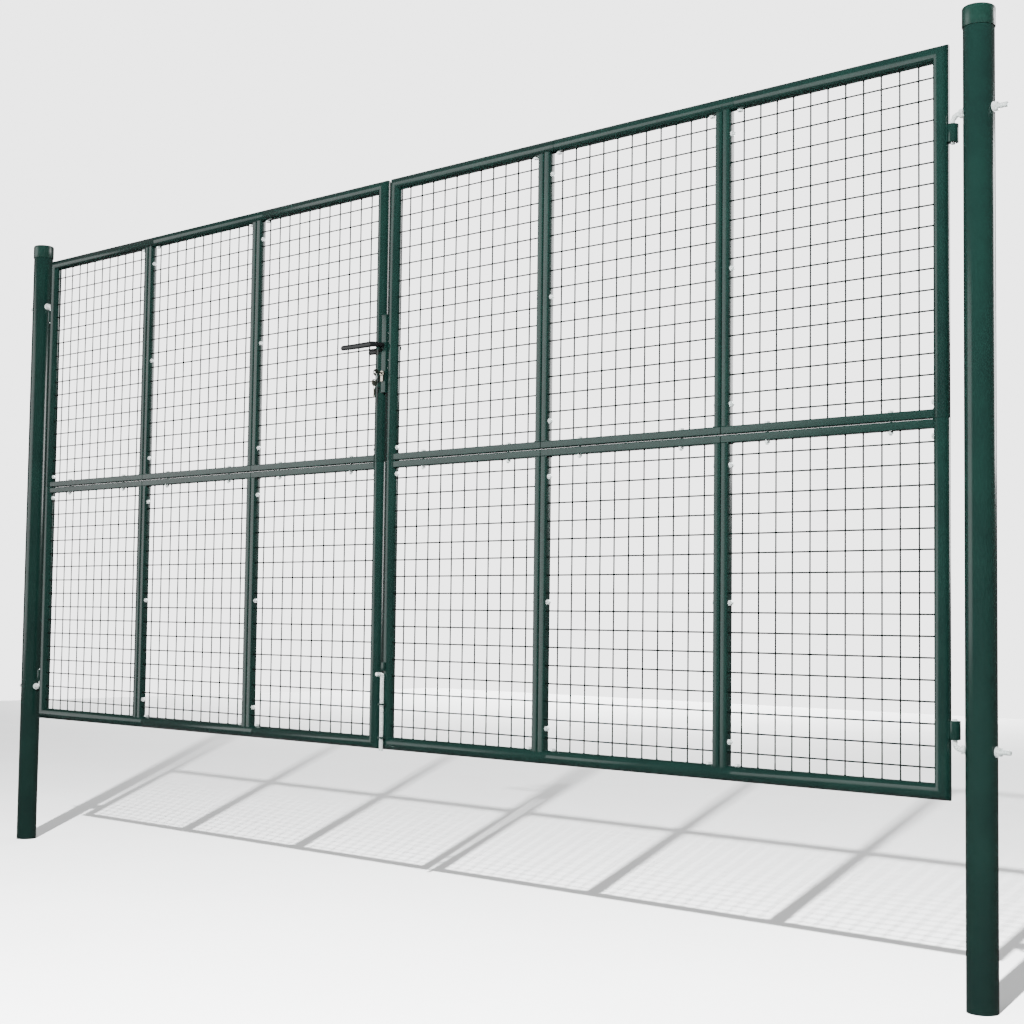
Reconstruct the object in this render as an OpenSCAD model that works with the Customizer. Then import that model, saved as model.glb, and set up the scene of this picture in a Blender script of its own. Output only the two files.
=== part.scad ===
// Double-leaf mesh panel gate: two round posts, two leaves of six bolted panels each,
// J-hook hinges, a lever lock on the left leaf and a drop bolt on the right leaf.
// Origin: ground point midway between the two post feet. +X right, +Y to the rear, +Z up.

/* [Leaves] */
// Distance between the centre lines of neighbouring upright members
column_pitch = 620; // [470:5:820]
// Distance between the centre lines of neighbouring level members
row_pitch = 856; // [656:5:1056]
// Height of the lower rail's centre line above the post feet
lower_rail_z = 479; // [380:1:600]
// Clear gap between the closing stiles of the two leaves
leaf_gap = 18; // [14:1:26]
// Outside diameter of the round outer frame tube
frame_d = 38; // [30:1:46]
// Wall of the round outer frame tube
frame_wall = 1.5; // [1.2:0.1:2.5]
// Width of each inner rectangular tube, seen from the front
inner_w = 20; // [15:1:25]
// Depth of each inner rectangular tube, front to rear
inner_depth = 25; // [20:1:30]
// Groove between the two inner tubes of a pair
inner_groove = 3; // [2:0.5:5]
// Wall of the inner rectangular tubes
inner_wall = 1.5; // [1.2:0.1:2.5]

/* [Mesh] */
// Spacing of the mesh wires
mesh_pitch = 50; // [40:1:60]
// Thickness of a mesh wire across its flats
wire_d = 4; // [3:0.5:6]

/* [Posts] */
// Outside diameter of the posts
post_d = 72; // [60:1:86]
// Wall of the posts
post_wall = 2; // [1.5:0.1:3]
// Height of the posts' tops above the top rails' centre line
post_rise = 89; // [69:1:400]
// Height of the cap's skirt
cap_skirt = 48; // [30:1:60]
// Wall of the cap
cap_wall = 2; // [1.5:0.5:3]
// Thickness of the cap's top
cap_top = 3; // [2:0.5:5]
// Clear gap between the outer stile and the post
post_gap = 41; // [38:1:50]

/* [Hinges] */
// Diameter of the hinge hook's rod
rod_d = 12; // [10:1:14]
// Distance from the outer stile's surface to the hinge axis
hinge_reach = 11; // [10:0.5:13]
// Centre height of the upper hinge barrel below the top rail
upper_lug_drop = 194; // [120:1:240]
// Centre height of the lower hinge barrel above the lower rail
lower_lug_rise = 141; // [120:1:240]
// Height of a hinge barrel
lug_height = 43; // [30:1:60]
// Outside diameter of a hinge barrel, which the outer stile's weld reaches into
lug_d = 26; // [25:0.5:28]
// Bend radius of the hook's centre line
hook_bend = 16; // [14:1:20]
// Free height between the barrel and the start of the hook's bend
hook_lift = 5; // [2:1:12]
// Length of the rod's end that stands out of the post
rod_proud = 35; // [30:1:50]

/* [Fasteners] */
// Shank diameter of the frame bolts
bolt_d = 8; // [6:1:10]
// Width across flats of the frame bolts and nuts
bolt_flats = 13; // [10:1:15]

/* [Lock] */
// Height of the lever's axis above the middle rail
lever_rise = 357; // [300:1:420]
// Distance of the key's axis below the lever's axis
key_drop = 87; // [84:1:100]
// Height of the lock case
case_height = 242; // [220:1:280]
// Width of the lock case from side to side
case_width = 30; // [28:1:32]
// Depth of the lock case, front to rear
case_depth = 30; // [26:1:32]
// Clear gap between the lock case and the other leaf
case_gap = 3; // [2:0.5:4]
// Length of the lever's grip
grip_length = 140; // [100:1:160]
// Height of the lever's grip
grip_height = 18; // [14:1:22]
// Distance from the gate's middle plane to the outer face of the grip
lever_reach = 63; // [58:1:75]
// Travel of the latch bolt and of the dead bolt
bolt_throw = 9; // [7:0.5:9]

/* [Drop bolt] */
// Diameter of the drop bolt's rod
drop_rod_d = 12; // [10:1:14]
// Length of the drop bolt's rod
drop_rod_length = 236; // [200:1:300]

/* [Hidden] */
$fn = 48;

// Finishes
green = "#2c463f";
wire_green = "#14241e";
zinc = "#ccd4d2";
black = "#1c1d1e";
nickel = "#b9b6ad";

// Clearances
weld_gap = 0.05; // between a welded-on piece and the tube that carries it
run_gap = 0.06; // radial clearance of a pin, plug or rod that turns or slides
slide_gap = 0.3; // clearance of a flat bolt in its slot
sleeve_gap = 0.2; // radial clearance of a sleeve inside a frame tube
through = 1; // how far a cutting shape runs past the face that it opens

// Leaves
LEFT = 0;
RIGHT = 1;
LOWER = 0;
UPPER = 1;
columns = 3;
rows = 2;
frame_r = frame_d / 2;
leaf_width = columns * column_pitch;
closing_x = leaf_gap / 2 + frame_r;
outer_x = closing_x + leaf_width;
leaf_left_x = [-outer_x, closing_x];
rail_z = [lower_rail_z, lower_rail_z + row_pitch, lower_rail_z + rows * row_pitch];
middle_z = rail_z[1];
pair_half = inner_groove / 2 + inner_w;

// Mesh: as many whole pitches as fit, centred in the panel
wire_margin = 25; // least distance from the outer wires to an inner tube
wire_columns = floor((column_pitch - 2 * (pair_half + wire_margin)) / mesh_pitch) + 1;
wire_rows = floor((row_pitch - 2 * (pair_half + wire_margin)) / mesh_pitch) + 1;
first_wire_x = (column_pitch - (wire_columns - 1) * mesh_pitch) / 2;
first_wire_z = (row_pitch - (wire_rows - 1) * mesh_pitch) / 2;
wire_y = 0.45 * wire_d;
wire_r = wire_d / 2 / cos(22.5);

// Posts and hinges
post_r = post_d / 2;
post_x = outer_x + frame_r + post_gap + post_r;
post_height = rail_z[rows] + post_rise;
hinge_x = outer_x + frame_r + hinge_reach;
rod_r = rod_d / 2;
lug_z = [rail_z[0] + lower_lug_rise, rail_z[rows] - upper_lug_drop];
rod_turn = [1, -1];
rod_z = [for (i = [0:1]) lug_z[i] - rod_turn[i] * (lug_height / 2 + hook_lift + hook_bend)];
hook_pin = lug_height + hook_lift + 4;
rod_end_x = post_x + post_r + rod_proud;
hook_nut_flats = 19;
hook_nut_thick = 10;
hook_washer_r = 12;
hook_washer_thick = 2;

// Fasteners
shank_r = bolt_d / 2;
head_thick = 5.3;
nut_thick = 6.5;
thread_proud = 4;
bolt_hole_r = shank_r + 0.2;
thread_gap = 0.05;
stile_bolt_wires = [0, floor((wire_rows - 1) / 2), wire_rows - 2]; // each bolt is midway above this wire
stile_bolt_z = [for (i = [0:rows - 1])
    for (wire = stile_bolt_wires) rail_z[i] + first_wire_z + (wire + 0.5) * mesh_pitch];
rail_bolt_offset = column_pitch / 2 - first_wire_x - 1.5 * mesh_pitch;
sleeve_r = frame_r - frame_wall - sleeve_gap;
sleeve_wall = 2;
sleeve_low = -75;
sleeve_high = 95;
seam_offset = first_wire_x - 20; // from an upright centre line to the round rail's seam on its right
// Sleeve bolts in a rail: midway between the inner tube and the last wire, and just past the seam
rail_sleeve_bolts = [-((pair_half + first_wire_x) / 2 - 0.75), seam_offset + 8];
stile_sleeve_bolt = first_wire_z - 13; // above and below the middle rails
sleeve_bolt_length = frame_wall + sleeve_gap + sleeve_wall + 3;

// Lock
lock_z = middle_z + lever_rise;
key_z = lock_z - key_drop;
case_front_x = leaf_gap / 2 - case_gap;
case_x = case_front_x - case_width / 2;
case_top = lock_z + 96;
case_bottom = case_top - case_height;
case_wall = 1.5;
case_face = case_depth / 2;
spindle_x = case_front_x - 10;
spindle_size = 8;
follower_r = 8;
neck_r = 8;
rose_r = 11;
rose_thick = 4;
grip_thick = 10;
square_gap = 0.1;
spindle_end = case_face + 20;
latch_z = lock_z + 24;
dead_z = key_z + 28;
bolt_height = 14;
bolt_depth = 10;
bolt_length = 27;
bolt_nose_x = case_front_x + bolt_throw;
plug_r = 6.5;
cylinder_r = 8.5;
cylinder_tail = 10;
cylinder_drop = 24.5;
cylinder_reach = case_face + 7;
key_thick = 2.2;
key_blade_height = 8;
key_blade_inner_y = -cylinder_reach + 18;
key_bow_r = 11;
key_hole_r = 3;
key_hole_offset = 6;
key_bow_y = -lever_reach + key_bow_r + key_hole_offset + 1;
key_hole_y = key_bow_y - key_hole_offset;
key_slot_gap = 0.15;
ring_r = 11;
ring_wire_r = 0.9;
ring_gap = 0.15;
ring_rest = key_hole_r - ring_wire_r - ring_gap;
ring_z = key_z - ring_rest - ring_r;
spare_hole_z = ring_z - ring_r - ring_rest;
spare_blade = 34;

// Keep
keep_clear = 4;
keep_wall = 1.5;
keep_half = bolt_height / 2 + keep_clear + keep_wall;
nose_gap = 0.5;
keep_back_x = bolt_nose_x + nose_gap + keep_wall;
keep_half_depth = frame_r - 5;
keep_flange = 2.8;
keep_z = [latch_z, dead_z];

// Drop bolt
drop_rod_r = drop_rod_d / 2;
drop_y = -(frame_r + 2 + drop_rod_r);
drop_low_z = rail_z[0] - frame_r - 3;
drop_high_z = drop_low_z + drop_rod_length;
drop_handle = 24;
drop_handle_r = drop_rod_r - 0.5;
guide_thick = 5;
guide_width = 22;
guide_z = [rail_z[0] + 18, rail_z[0] + 118];
guide_front_y = drop_y - drop_rod_r - 4;
stop_height = 26;
stop_gap = 4;

// ---- Shared shapes ----

module level_rod(xa, xb, y, z, r) {
    translate([xa, y, z]) rotate([0, 90, 0]) cylinder(r = r, h = xb - xa);
}

module deep_rod(x, ya, yb, z, r) {
    translate([x, yb, z]) rotate([90, 0, 0]) cylinder(r = r, h = yb - ya);
}

module upright_rod(x, y, za, zb, r) {
    translate([x, y, za]) cylinder(r = r, h = zb - za);
}

module block(low, high) {
    translate(low) cube(high - low);
}

// Prism over an outline in X and Z, centred on the gate's middle plane
module plane_prism(points, depth) {
    rotate([90, 0, 0]) linear_extrude(height = depth, center = true) polygon(points);
}

// Level round bar with mitred or square ends; outward is +1 for a top rail and -1 for a bottom rail
module rail_bar(xa, xb, z, r, mitre_a, mitre_b, outward) {
    reach = frame_d;
    intersection() {
        level_rod(xa - mitre_a * frame_d, xb + mitre_b * frame_d, 0, z, r);
        plane_prism([
            [xa - mitre_a * reach, z + outward * reach], [xb + mitre_b * reach, z + outward * reach],
            [xb - mitre_b * reach, z - outward * reach], [xa + mitre_a * reach, z - outward * reach]
        ], 2 * reach);
    }
}

// Upright round bar; outward is -1 for a left stile and +1 for a right stile
module stile_bar(x, za, zb, r, mitre_a, mitre_b, outward) {
    reach = frame_d;
    intersection() {
        upright_rod(x, 0, za - mitre_a * frame_d, zb + mitre_b * frame_d, r);
        plane_prism([
            [x + outward * reach, za - mitre_a * reach], [x + outward * reach, zb + mitre_b * reach],
            [x - outward * reach, zb - mitre_b * reach], [x - outward * reach, za + mitre_a * reach]
        ], 2 * reach);
    }
}

// ---- Leaf panels ----

function panel_left(leaf, column) = leaf_left_x[leaf] + column * column_pitch;

// All round members of one panel at radius r
module round_members(leaf, column, row, r) {
    xl = panel_left(leaf, column);
    xr = xl + column_pitch;
    first = column == 0 ? 1 : 0;
    last = column == columns - 1 ? 1 : 0;
    outward = row == UPPER ? 1 : -1;
    rail_bar(xl + (1 - first) * seam_offset, xr + (1 - last) * seam_offset,
        rail_z[row == UPPER ? rows : 0], r, first, last, outward);
    if (first == 1) {
        stile_bar(xl, rail_z[row], rail_z[row + 1], r, 1 - row, row, -1);
    }
    if (last == 1) {
        stile_bar(xr, rail_z[row], rail_z[row + 1], r, 1 - row, row, 1);
    }
}

// All rectangular members of one panel, shrunk by inset on every side
module inner_members(leaf, column, row, inset) {
    xl = panel_left(leaf, column);
    xr = xl + column_pitch;
    half = inner_depth / 2 - inset;
    left_end = column == 0 ? xl : xl + inner_groove / 2;
    right_end = column == columns - 1 ? xr : xr - inner_groove / 2;
    level_z = row == UPPER ? middle_z + inner_groove / 2 : middle_z - inner_groove / 2 - inner_w;
    stile_low = row == UPPER ? level_z + inner_w : rail_z[0];
    stile_high = row == UPPER ? rail_z[rows] : level_z;
    round_inset = inset > 0 ? frame_r : 0;
    low_inset = row == UPPER ? inset : round_inset;
    high_inset = row == UPPER ? round_inset : inset;
    block([left_end + (column == 0 ? round_inset : inset), -half, level_z + inset],
        [right_end - (column == columns - 1 ? round_inset : inset), half, level_z + inner_w - inset]);
    if (column > 0) {
        block([left_end + inset, -half, stile_low + low_inset],
            [left_end + inner_w - inset, half, stile_high - high_inset]);
    }
    if (column < columns - 1) {
        block([right_end - inner_w + inset, -half, stile_low + low_inset],
            [right_end - inset, half, stile_high - high_inset]);
    }
}

// Room for the neighbouring panel's round rail, which reaches over this panel's left stile
module neighbour_rail(leaf, column, row) {
    if (column > 0) {
        x = panel_left(leaf, column);
        level_rod(x - seam_offset, x + seam_offset, 0, rail_z[row == UPPER ? rows : 0], frame_r + weld_gap);
    }
}

// Holes for the bolts that join the inner tubes
module inner_bolt_holes(leaf, column, row) {
    xl = panel_left(leaf, column);
    for (i = [0:2]) {
        z = stile_bolt_z[3 * row + i];
        if (column > 0) {
            level_rod(xl, xl + pair_half + through, 0, z, bolt_hole_r);
        }
        if (column < columns - 1) {
            level_rod(xl + column_pitch - pair_half - through, xl + column_pitch, 0, z, bolt_hole_r);
        }
    }
    for (side = [-1, 1]) {
        upright_rod(xl + column_pitch / 2 + side * rail_bolt_offset, 0,
            middle_z - pair_half - through, middle_z + pair_half + through, bolt_hole_r);
    }
}

// Holes for the bolts that hold the sleeves inside the round tubes
module sleeve_bolt_holes(leaf) {
    for (joint = [1:columns - 1]) {
        for (offset = rail_sleeve_bolts) {
            x = panel_left(leaf, joint) + offset;
            upright_rod(x, 0, rail_z[rows] - frame_d, rail_z[rows], bolt_hole_r);
            upright_rod(x, 0, rail_z[0], rail_z[0] + frame_d, bolt_hole_r);
        }
    }
    for (side = [-1, 1]) {
        z = middle_z + side * stile_sleeve_bolt;
        xl = panel_left(leaf, 0);
        xr = panel_left(leaf, columns);
        level_rod(xl, xl + frame_d, 0, z, bolt_hole_r);
        level_rod(xr - frame_d, xr, 0, z, bolt_hole_r);
    }
}

// Slot that lets the lock case into the left leaf's closing stile
module lock_slot() {
    block([case_x - case_width / 2 - weld_gap, -case_face - weld_gap, case_bottom - weld_gap],
        [closing_x, case_face + weld_gap, case_top + weld_gap]);
}

// Notches for the keep in the right leaf's closing stile
module keep_notches() {
    for (z = keep_z) {
        block([0, -frame_d, z - keep_half - weld_gap],
            [keep_back_x + weld_gap, frame_d, z + keep_half + weld_gap]);
    }
}

module panel_frame(leaf, column, row) {
    color(green) difference() {
        union() {
            round_members(leaf, column, row, frame_r);
            inner_members(leaf, column, row, 0);
        }
        round_members(leaf, column, row, frame_r - frame_wall);
        inner_members(leaf, column, row, inner_wall);
        neighbour_rail(leaf, column, row);
        inner_bolt_holes(leaf, column, row);
        sleeve_bolt_holes(leaf);
        if (leaf == LEFT && column == columns - 1 && row == UPPER) {
            lock_slot();
        }
        if (leaf == RIGHT && column == 0 && row == UPPER) {
            keep_notches();
        }
    }
}

// Welded mesh of one panel: upright wires behind, level wires in front
module panel_mesh(leaf, column, row) {
    xl = panel_left(leaf, column);
    zb = rail_z[row];
    left_gap = column == 0 ? frame_r : pair_half + weld_gap;
    right_gap = column == columns - 1 ? frame_r : pair_half + weld_gap;
    low_gap = row == LOWER ? frame_r : pair_half + weld_gap;
    high_gap = row == UPPER ? frame_r : pair_half + weld_gap;
    color(wire_green) union() {
        for (i = [0:wire_columns - 1]) {
            translate([xl + first_wire_x + i * mesh_pitch, wire_y, zb + low_gap])
                rotate([0, 0, 22.5]) cylinder(r = wire_r, h = row_pitch - low_gap - high_gap, $fn = 8);
        }
        for (j = [0:wire_rows - 1]) {
            translate([xl + left_gap, -wire_y, zb + first_wire_z + j * mesh_pitch])
                rotate([0, 90, 0]) rotate([0, 0, 22.5])
                    cylinder(r = wire_r, h = column_pitch - left_gap - right_gap, $fn = 8);
        }
    }
}

// ---- Fasteners ----

// Hexagon across flats w, from z = 0 to z = h
module hexagon(w, h) {
    cylinder(r = w / 2 / cos(30), h = h, $fn = 6);
}

// Bolt with its head below z = 0 and its grip upwards
module hex_bolt(grip) {
    translate([0, 0, -head_thick]) hexagon(bolt_flats, head_thick);
    cylinder(r = shank_r, h = grip + nut_thick + thread_proud);
}

module hex_nut() {
    difference() {
        hexagon(bolt_flats, nut_thick);
        translate([0, 0, -through]) cylinder(r = shank_r + thread_gap, h = nut_thick + 2 * through);
    }
}

// Places its children at every bolt through a pair of inner tubes, z along the bolt from its head
module at_frame_bolts(leaf) {
    for (joint = [1:columns - 1]) {
        for (z = stile_bolt_z) {
            translate([panel_left(leaf, joint) - pair_half, 0, z]) rotate([0, 90, 0]) children();
        }
    }
    for (column = [0:columns - 1]) {
        for (side = [-1, 1]) {
            x = panel_left(leaf, column) + column_pitch / 2 + side * rail_bolt_offset;
            translate([x, 0, middle_z + pair_half]) rotate([180, 0, 0]) children();
        }
    }
}

module frame_bolts(leaf) {
    color(zinc) at_frame_bolts(leaf) hex_bolt(2 * pair_half);
}

module frame_nuts(leaf) {
    color(zinc) at_frame_bolts(leaf) translate([0, 0, 2 * pair_half]) hex_nut();
}

// Places its children where a sleeve bolt's head meets the tube, z pointing into the tube
module at_sleeve_bolts(leaf) {
    for (joint = [1:columns - 1]) {
        for (offset = rail_sleeve_bolts) {
            x = panel_left(leaf, joint) + offset;
            translate([x, 0, rail_z[rows] - frame_r]) children();
            translate([x, 0, rail_z[0] + frame_r]) rotate([180, 0, 0]) children();
        }
    }
    for (side = [-1, 1]) {
        z = middle_z + side * stile_sleeve_bolt;
        translate([panel_left(leaf, 0) + frame_r, 0, z]) rotate([0, -90, 0]) children();
        translate([panel_left(leaf, columns) - frame_r, 0, z]) rotate([0, 90, 0]) children();
    }
}

module sleeve_bolts(leaf) {
    color(zinc) at_sleeve_bolts(leaf) union() {
        translate([0, 0, -head_thick]) hexagon(bolt_flats, head_thick);
        cylinder(r = shank_r, h = sleeve_bolt_length);
    }
}

// Sleeves inside the round tubes, tapped for the sleeve bolts
module tube_sleeves(leaf) {
    color(zinc) difference() {
        union() {
            for (joint = [1:columns - 1]) {
                for (z = [rail_z[0], rail_z[rows]]) {
                    x = panel_left(leaf, joint);
                    level_rod(x + sleeve_low, x + sleeve_high, 0, z, sleeve_r);
                }
            }
            for (x = [panel_left(leaf, 0), panel_left(leaf, columns)]) {
                upright_rod(x, 0, middle_z + sleeve_low, middle_z - sleeve_low, sleeve_r);
            }
        }
        for (joint = [1:columns - 1]) {
            for (z = [rail_z[0], rail_z[rows]]) {
                x = panel_left(leaf, joint);
                level_rod(x + sleeve_low - through, x + sleeve_high + through, 0, z, sleeve_r - sleeve_wall);
            }
        }
        for (x = [panel_left(leaf, 0), panel_left(leaf, columns)]) {
            upright_rod(x, 0, middle_z + sleeve_low - through, middle_z - sleeve_low + through,
                sleeve_r - sleeve_wall);
        }
        at_sleeve_bolts(leaf) cylinder(r = shank_r + thread_gap, h = frame_r);
    }
}

// ---- Posts and hinges ----

function outward(leaf) = leaf == LEFT ? -1 : 1;

module post(leaf) {
    x = outward(leaf) * post_x;
    color(green) difference() {
        upright_rod(x, 0, 0, post_height - cap_top, post_r);
        upright_rod(x, 0, -through, post_height, post_r - post_wall);
        for (z = rod_z) {
            level_rod(x - post_d, x + post_d, 0, z, rod_r + bolt_hole_r - shank_r);
        }
    }
}

module post_cap(leaf) {
    x = outward(leaf) * post_x;
    color(green) difference() {
        upright_rod(x, 0, post_height - cap_skirt, post_height, post_r + cap_wall);
        upright_rod(x, 0, post_height - cap_skirt - through, post_height - cap_top, post_r + weld_gap);
    }
}

// Threaded rod through the post, bent into an upright pin at the hinge axis
module hinge_hooks(leaf) {
    color(zinc) for (i = [0:1]) {
        translate([outward(leaf) * hinge_x, 0, rod_z[i]]) scale_side(leaf, rod_turn[i]) union() {
            level_rod(hook_bend, rod_end_x - hinge_x, 0, 0, rod_r);
            translate([hook_bend, 0, hook_bend]) rotate([90, 0, 0]) rotate([0, 0, 180])
                rotate_extrude(angle = 90) translate([hook_bend, 0]) circle(r = rod_r);
            upright_rod(0, 0, hook_bend, hook_bend + hook_pin, rod_r);
        }
    }
}

// Mirrors a hook drawn for the right post and a pin that points up
module scale_side(leaf, turn) {
    mirror([leaf == LEFT ? 1 : 0, 0, 0]) mirror([0, 0, turn < 0 ? 1 : 0]) children();
}

// Places its children on both sides of the post on every hinge rod, z pointing away from the post
module at_hook_nuts(leaf) {
    for (z = rod_z) {
        for (side = [-1, 1]) {
            x = outward(leaf) * post_x + side * (post_r + weld_gap);
            translate([x, 0, z]) rotate([0, 90 * side, 0]) children();
        }
    }
}

module hook_washers(leaf) {
    color(zinc) at_hook_nuts(leaf) difference() {
        cylinder(r = hook_washer_r, h = hook_washer_thick);
        translate([0, 0, -through]) cylinder(r = rod_r + thread_gap, h = hook_washer_thick + 2 * through);
    }
}

module hook_nuts(leaf) {
    color(zinc) at_hook_nuts(leaf) translate([0, 0, hook_washer_thick]) difference() {
        hexagon(hook_nut_flats, hook_nut_thick);
        translate([0, 0, -through]) cylinder(r = rod_r + thread_gap, h = hook_nut_thick + 2 * through);
    }
}

// Barrels welded to the outer stile, bored for the hook's pin
module hinge_lugs(leaf) {
    side = outward(leaf);
    color(green) for (z = lug_z) {
        difference() {
            upright_rod(side * hinge_x, 0, z - lug_height / 2, z + lug_height / 2, lug_d / 2);
            upright_rod(side * outer_x, 0, z - lug_height, z + lug_height, frame_r + weld_gap);
            upright_rod(side * hinge_x, 0, z - lug_height, z + lug_height, rod_r + run_gap);
        }
    }
}

// ---- Lock ----

// Profile of the lock cylinder: a round part for the plug above a flat tail
module cylinder_profile(gap, ya, yb) {
    deep_rod(spindle_x, ya, yb, key_z, cylinder_r + gap);
    block([spindle_x - cylinder_tail / 2 - gap, ya, key_z - cylinder_drop - gap],
        [spindle_x + cylinder_tail / 2 + gap, yb, key_z]);
}

module sliding_bolt(x, z, gap) {
    block([x - bolt_length - gap, -bolt_depth / 2 - gap, z - bolt_height / 2 - gap],
        [x + gap, bolt_depth / 2 + gap, z + bolt_height / 2 + gap]);
}

module lock_case() {
    color(green) difference() {
        block([case_x - case_width / 2, -case_face, case_bottom], [case_front_x, case_face, case_top]);
        block([case_x - case_width / 2 + case_wall, -case_face + case_wall, case_bottom + case_wall],
            [case_front_x - case_wall, case_face - case_wall, case_top - case_wall]);
        deep_rod(spindle_x, -case_depth, case_depth, lock_z, follower_r + run_gap);
        cylinder_profile(weld_gap, -case_depth, case_depth);
        sliding_bolt(case_front_x + through, latch_z, slide_gap);
        sliding_bolt(case_front_x + through, dead_z, slide_gap);
    }
}

module lock_cylinder() {
    color(nickel) difference() {
        cylinder_profile(0, -cylinder_reach, cylinder_reach);
        deep_rod(spindle_x, -cylinder_reach - through, 0, key_z, plug_r + run_gap);
    }
}

module cylinder_plug() {
    color(nickel) difference() {
        deep_rod(spindle_x, -cylinder_reach - 0.5, -run_gap, key_z, plug_r);
        block([spindle_x - key_thick / 2 - key_slot_gap, -cylinder_reach - through,
                key_z - key_blade_height / 2 - key_slot_gap],
            [spindle_x + key_thick / 2 + key_slot_gap, key_blade_inner_y + key_slot_gap,
                key_z + key_blade_height / 2 + key_slot_gap]);
    }
}

// Key in its own frame: bow centre at the origin, blade along +X, thickness along Y
module key_shape(blade_length) {
    difference() {
        union() {
            rotate([90, 0, 0]) cylinder(r = key_bow_r, h = key_thick, center = true);
            translate([0, -key_thick / 2, -key_blade_height / 2])
                cube([key_bow_r + blade_length, key_thick, key_blade_height]);
        }
        translate([-key_hole_offset, 0, 0]) rotate([90, 0, 0])
            cylinder(r = key_hole_r, h = 2 * key_thick, center = true);
    }
}

module door_key() {
    blade = key_blade_inner_y - key_bow_y - key_bow_r;
    color(nickel) translate([spindle_x, key_bow_y, key_z]) rotate([0, 0, 90]) key_shape(blade);
}

module key_ring() {
    color(zinc) translate([spindle_x, key_hole_y, ring_z]) rotate([90, 0, 0])
        rotate_extrude() translate([ring_r, 0]) circle(r = ring_wire_r);
}

module spare_key() {
    color(nickel) translate([spindle_x, key_hole_y, spare_hole_z - key_hole_offset])
        rotate([0, 0, 90]) rotate([0, 90, 0]) key_shape(spare_blade);
}

module escutcheons() {
    color(green) for (side = [-1, 1]) {
        difference() {
            deep_rod(spindle_x, min(side * case_face, side * (case_face + rose_thick)),
                max(side * case_face, side * (case_face + rose_thick)), lock_z, rose_r);
            deep_rod(spindle_x, -lever_reach, lever_reach, lock_z, neck_r + run_gap);
        }
    }
}

// Square spindle with the round follower that turns in the case
module lever_spindle() {
    color(zinc) union() {
        deep_rod(spindle_x, -case_face + run_gap, case_face - run_gap, lock_z, follower_r);
        block([spindle_x - spindle_size / 2, -spindle_end, lock_z - spindle_size / 2],
            [spindle_x + spindle_size / 2, spindle_end, lock_z + spindle_size / 2]);
    }
}

// Lever drawn in front of the gate: neck towards the front, grip towards the hinge side
module lever() {
    half = spindle_size / 2 + square_gap;
    grip_y = -lever_reach + grip_thick;
    tip_x = spindle_x - grip_length;
    difference() {
        union() {
            deep_rod(spindle_x, -lever_reach, -case_face - run_gap, lock_z, neck_r);
            deep_rod(spindle_x, -lever_reach, grip_y, lock_z, grip_height / 2);
            deep_rod(tip_x, -lever_reach, grip_y, lock_z, grip_height / 2);
            block([tip_x, -lever_reach, lock_z - grip_height / 2], [spindle_x, grip_y, lock_z + grip_height / 2]);
        }
        block([spindle_x - half, -spindle_end - square_gap, lock_z - half],
            [spindle_x + half, 0, lock_z + half]);
    }
}

module front_lever() {
    color(black) lever();
}

module rear_lever() {
    color(black) mirror([0, 1, 0]) lever();
}

module latch_bolt() {
    color(nickel) sliding_bolt(bolt_nose_x, latch_z, 0);
}

module dead_bolt() {
    color(nickel) sliding_bolt(bolt_nose_x - bolt_throw, dead_z, 0);
}

// Channels let into the right leaf's closing stile, open to the front and the rear
module keep_channels() {
    color(zinc) for (z = keep_z) {
        difference() {
            block([keep_back_x - keep_flange, -keep_half_depth, z - keep_half],
                [keep_back_x, keep_half_depth, z + keep_half]);
            block([0, -frame_d, z - keep_half + keep_wall],
                [keep_back_x - keep_wall, frame_d, z + keep_half - keep_wall]);
        }
    }
}

// ---- Drop bolt ----

module drop_bolt() {
    color(zinc) union() {
        upright_rod(closing_x, drop_y, drop_low_z, drop_high_z, drop_rod_r);
        deep_rod(closing_x, drop_y - drop_handle, drop_y, drop_high_z - drop_rod_r, drop_handle_r);
    }
}

// Two bored guides and the stop above the handle, all welded to the closing stile
module drop_bolt_guides() {
    color(green) difference() {
        union() {
            for (z = guide_z) {
                block([closing_x - guide_width / 2, guide_front_y, z - guide_thick / 2],
                    [closing_x + guide_width / 2, 0, z + guide_thick / 2]);
            }
            block([closing_x - drop_rod_r, drop_y, drop_high_z + stop_gap],
                [closing_x + drop_rod_r, 0, drop_high_z + stop_gap + stop_height]);
        }
        upright_rod(closing_x, 0, 0, post_height, frame_r + weld_gap);
        upright_rod(closing_x, drop_y, 0, drop_high_z, drop_rod_r + run_gap);
    }
}

post(LEFT);  // left_post
post(RIGHT);  // right_post
post_cap(LEFT);  // left_post_cap
post_cap(RIGHT);  // right_post_cap
hinge_hooks(LEFT);  // left_hinge_hooks
hinge_hooks(RIGHT);  // right_hinge_hooks
hook_nuts(LEFT);  // left_hook_nuts
hook_nuts(RIGHT);  // right_hook_nuts
hook_washers(LEFT);  // left_hook_washers
hook_washers(RIGHT);  // right_hook_washers
panel_frame(LEFT, 0, UPPER);  // left_upper_hinge_panel
panel_frame(LEFT, 1, UPPER);  // left_upper_middle_panel
panel_frame(LEFT, 2, UPPER);  // left_upper_lock_panel
panel_frame(LEFT, 0, LOWER);  // left_lower_hinge_panel
panel_frame(LEFT, 1, LOWER);  // left_lower_middle_panel
panel_frame(LEFT, 2, LOWER);  // left_lower_lock_panel
panel_mesh(LEFT, 0, UPPER);  // left_upper_hinge_mesh
panel_mesh(LEFT, 1, UPPER);  // left_upper_middle_mesh
panel_mesh(LEFT, 2, UPPER);  // left_upper_lock_mesh
panel_mesh(LEFT, 0, LOWER);  // left_lower_hinge_mesh
panel_mesh(LEFT, 1, LOWER);  // left_lower_middle_mesh
panel_mesh(LEFT, 2, LOWER);  // left_lower_lock_mesh
frame_bolts(LEFT);  // left_frame_bolts
frame_nuts(LEFT);  // left_frame_nuts
tube_sleeves(LEFT);  // left_tube_sleeves
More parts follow.
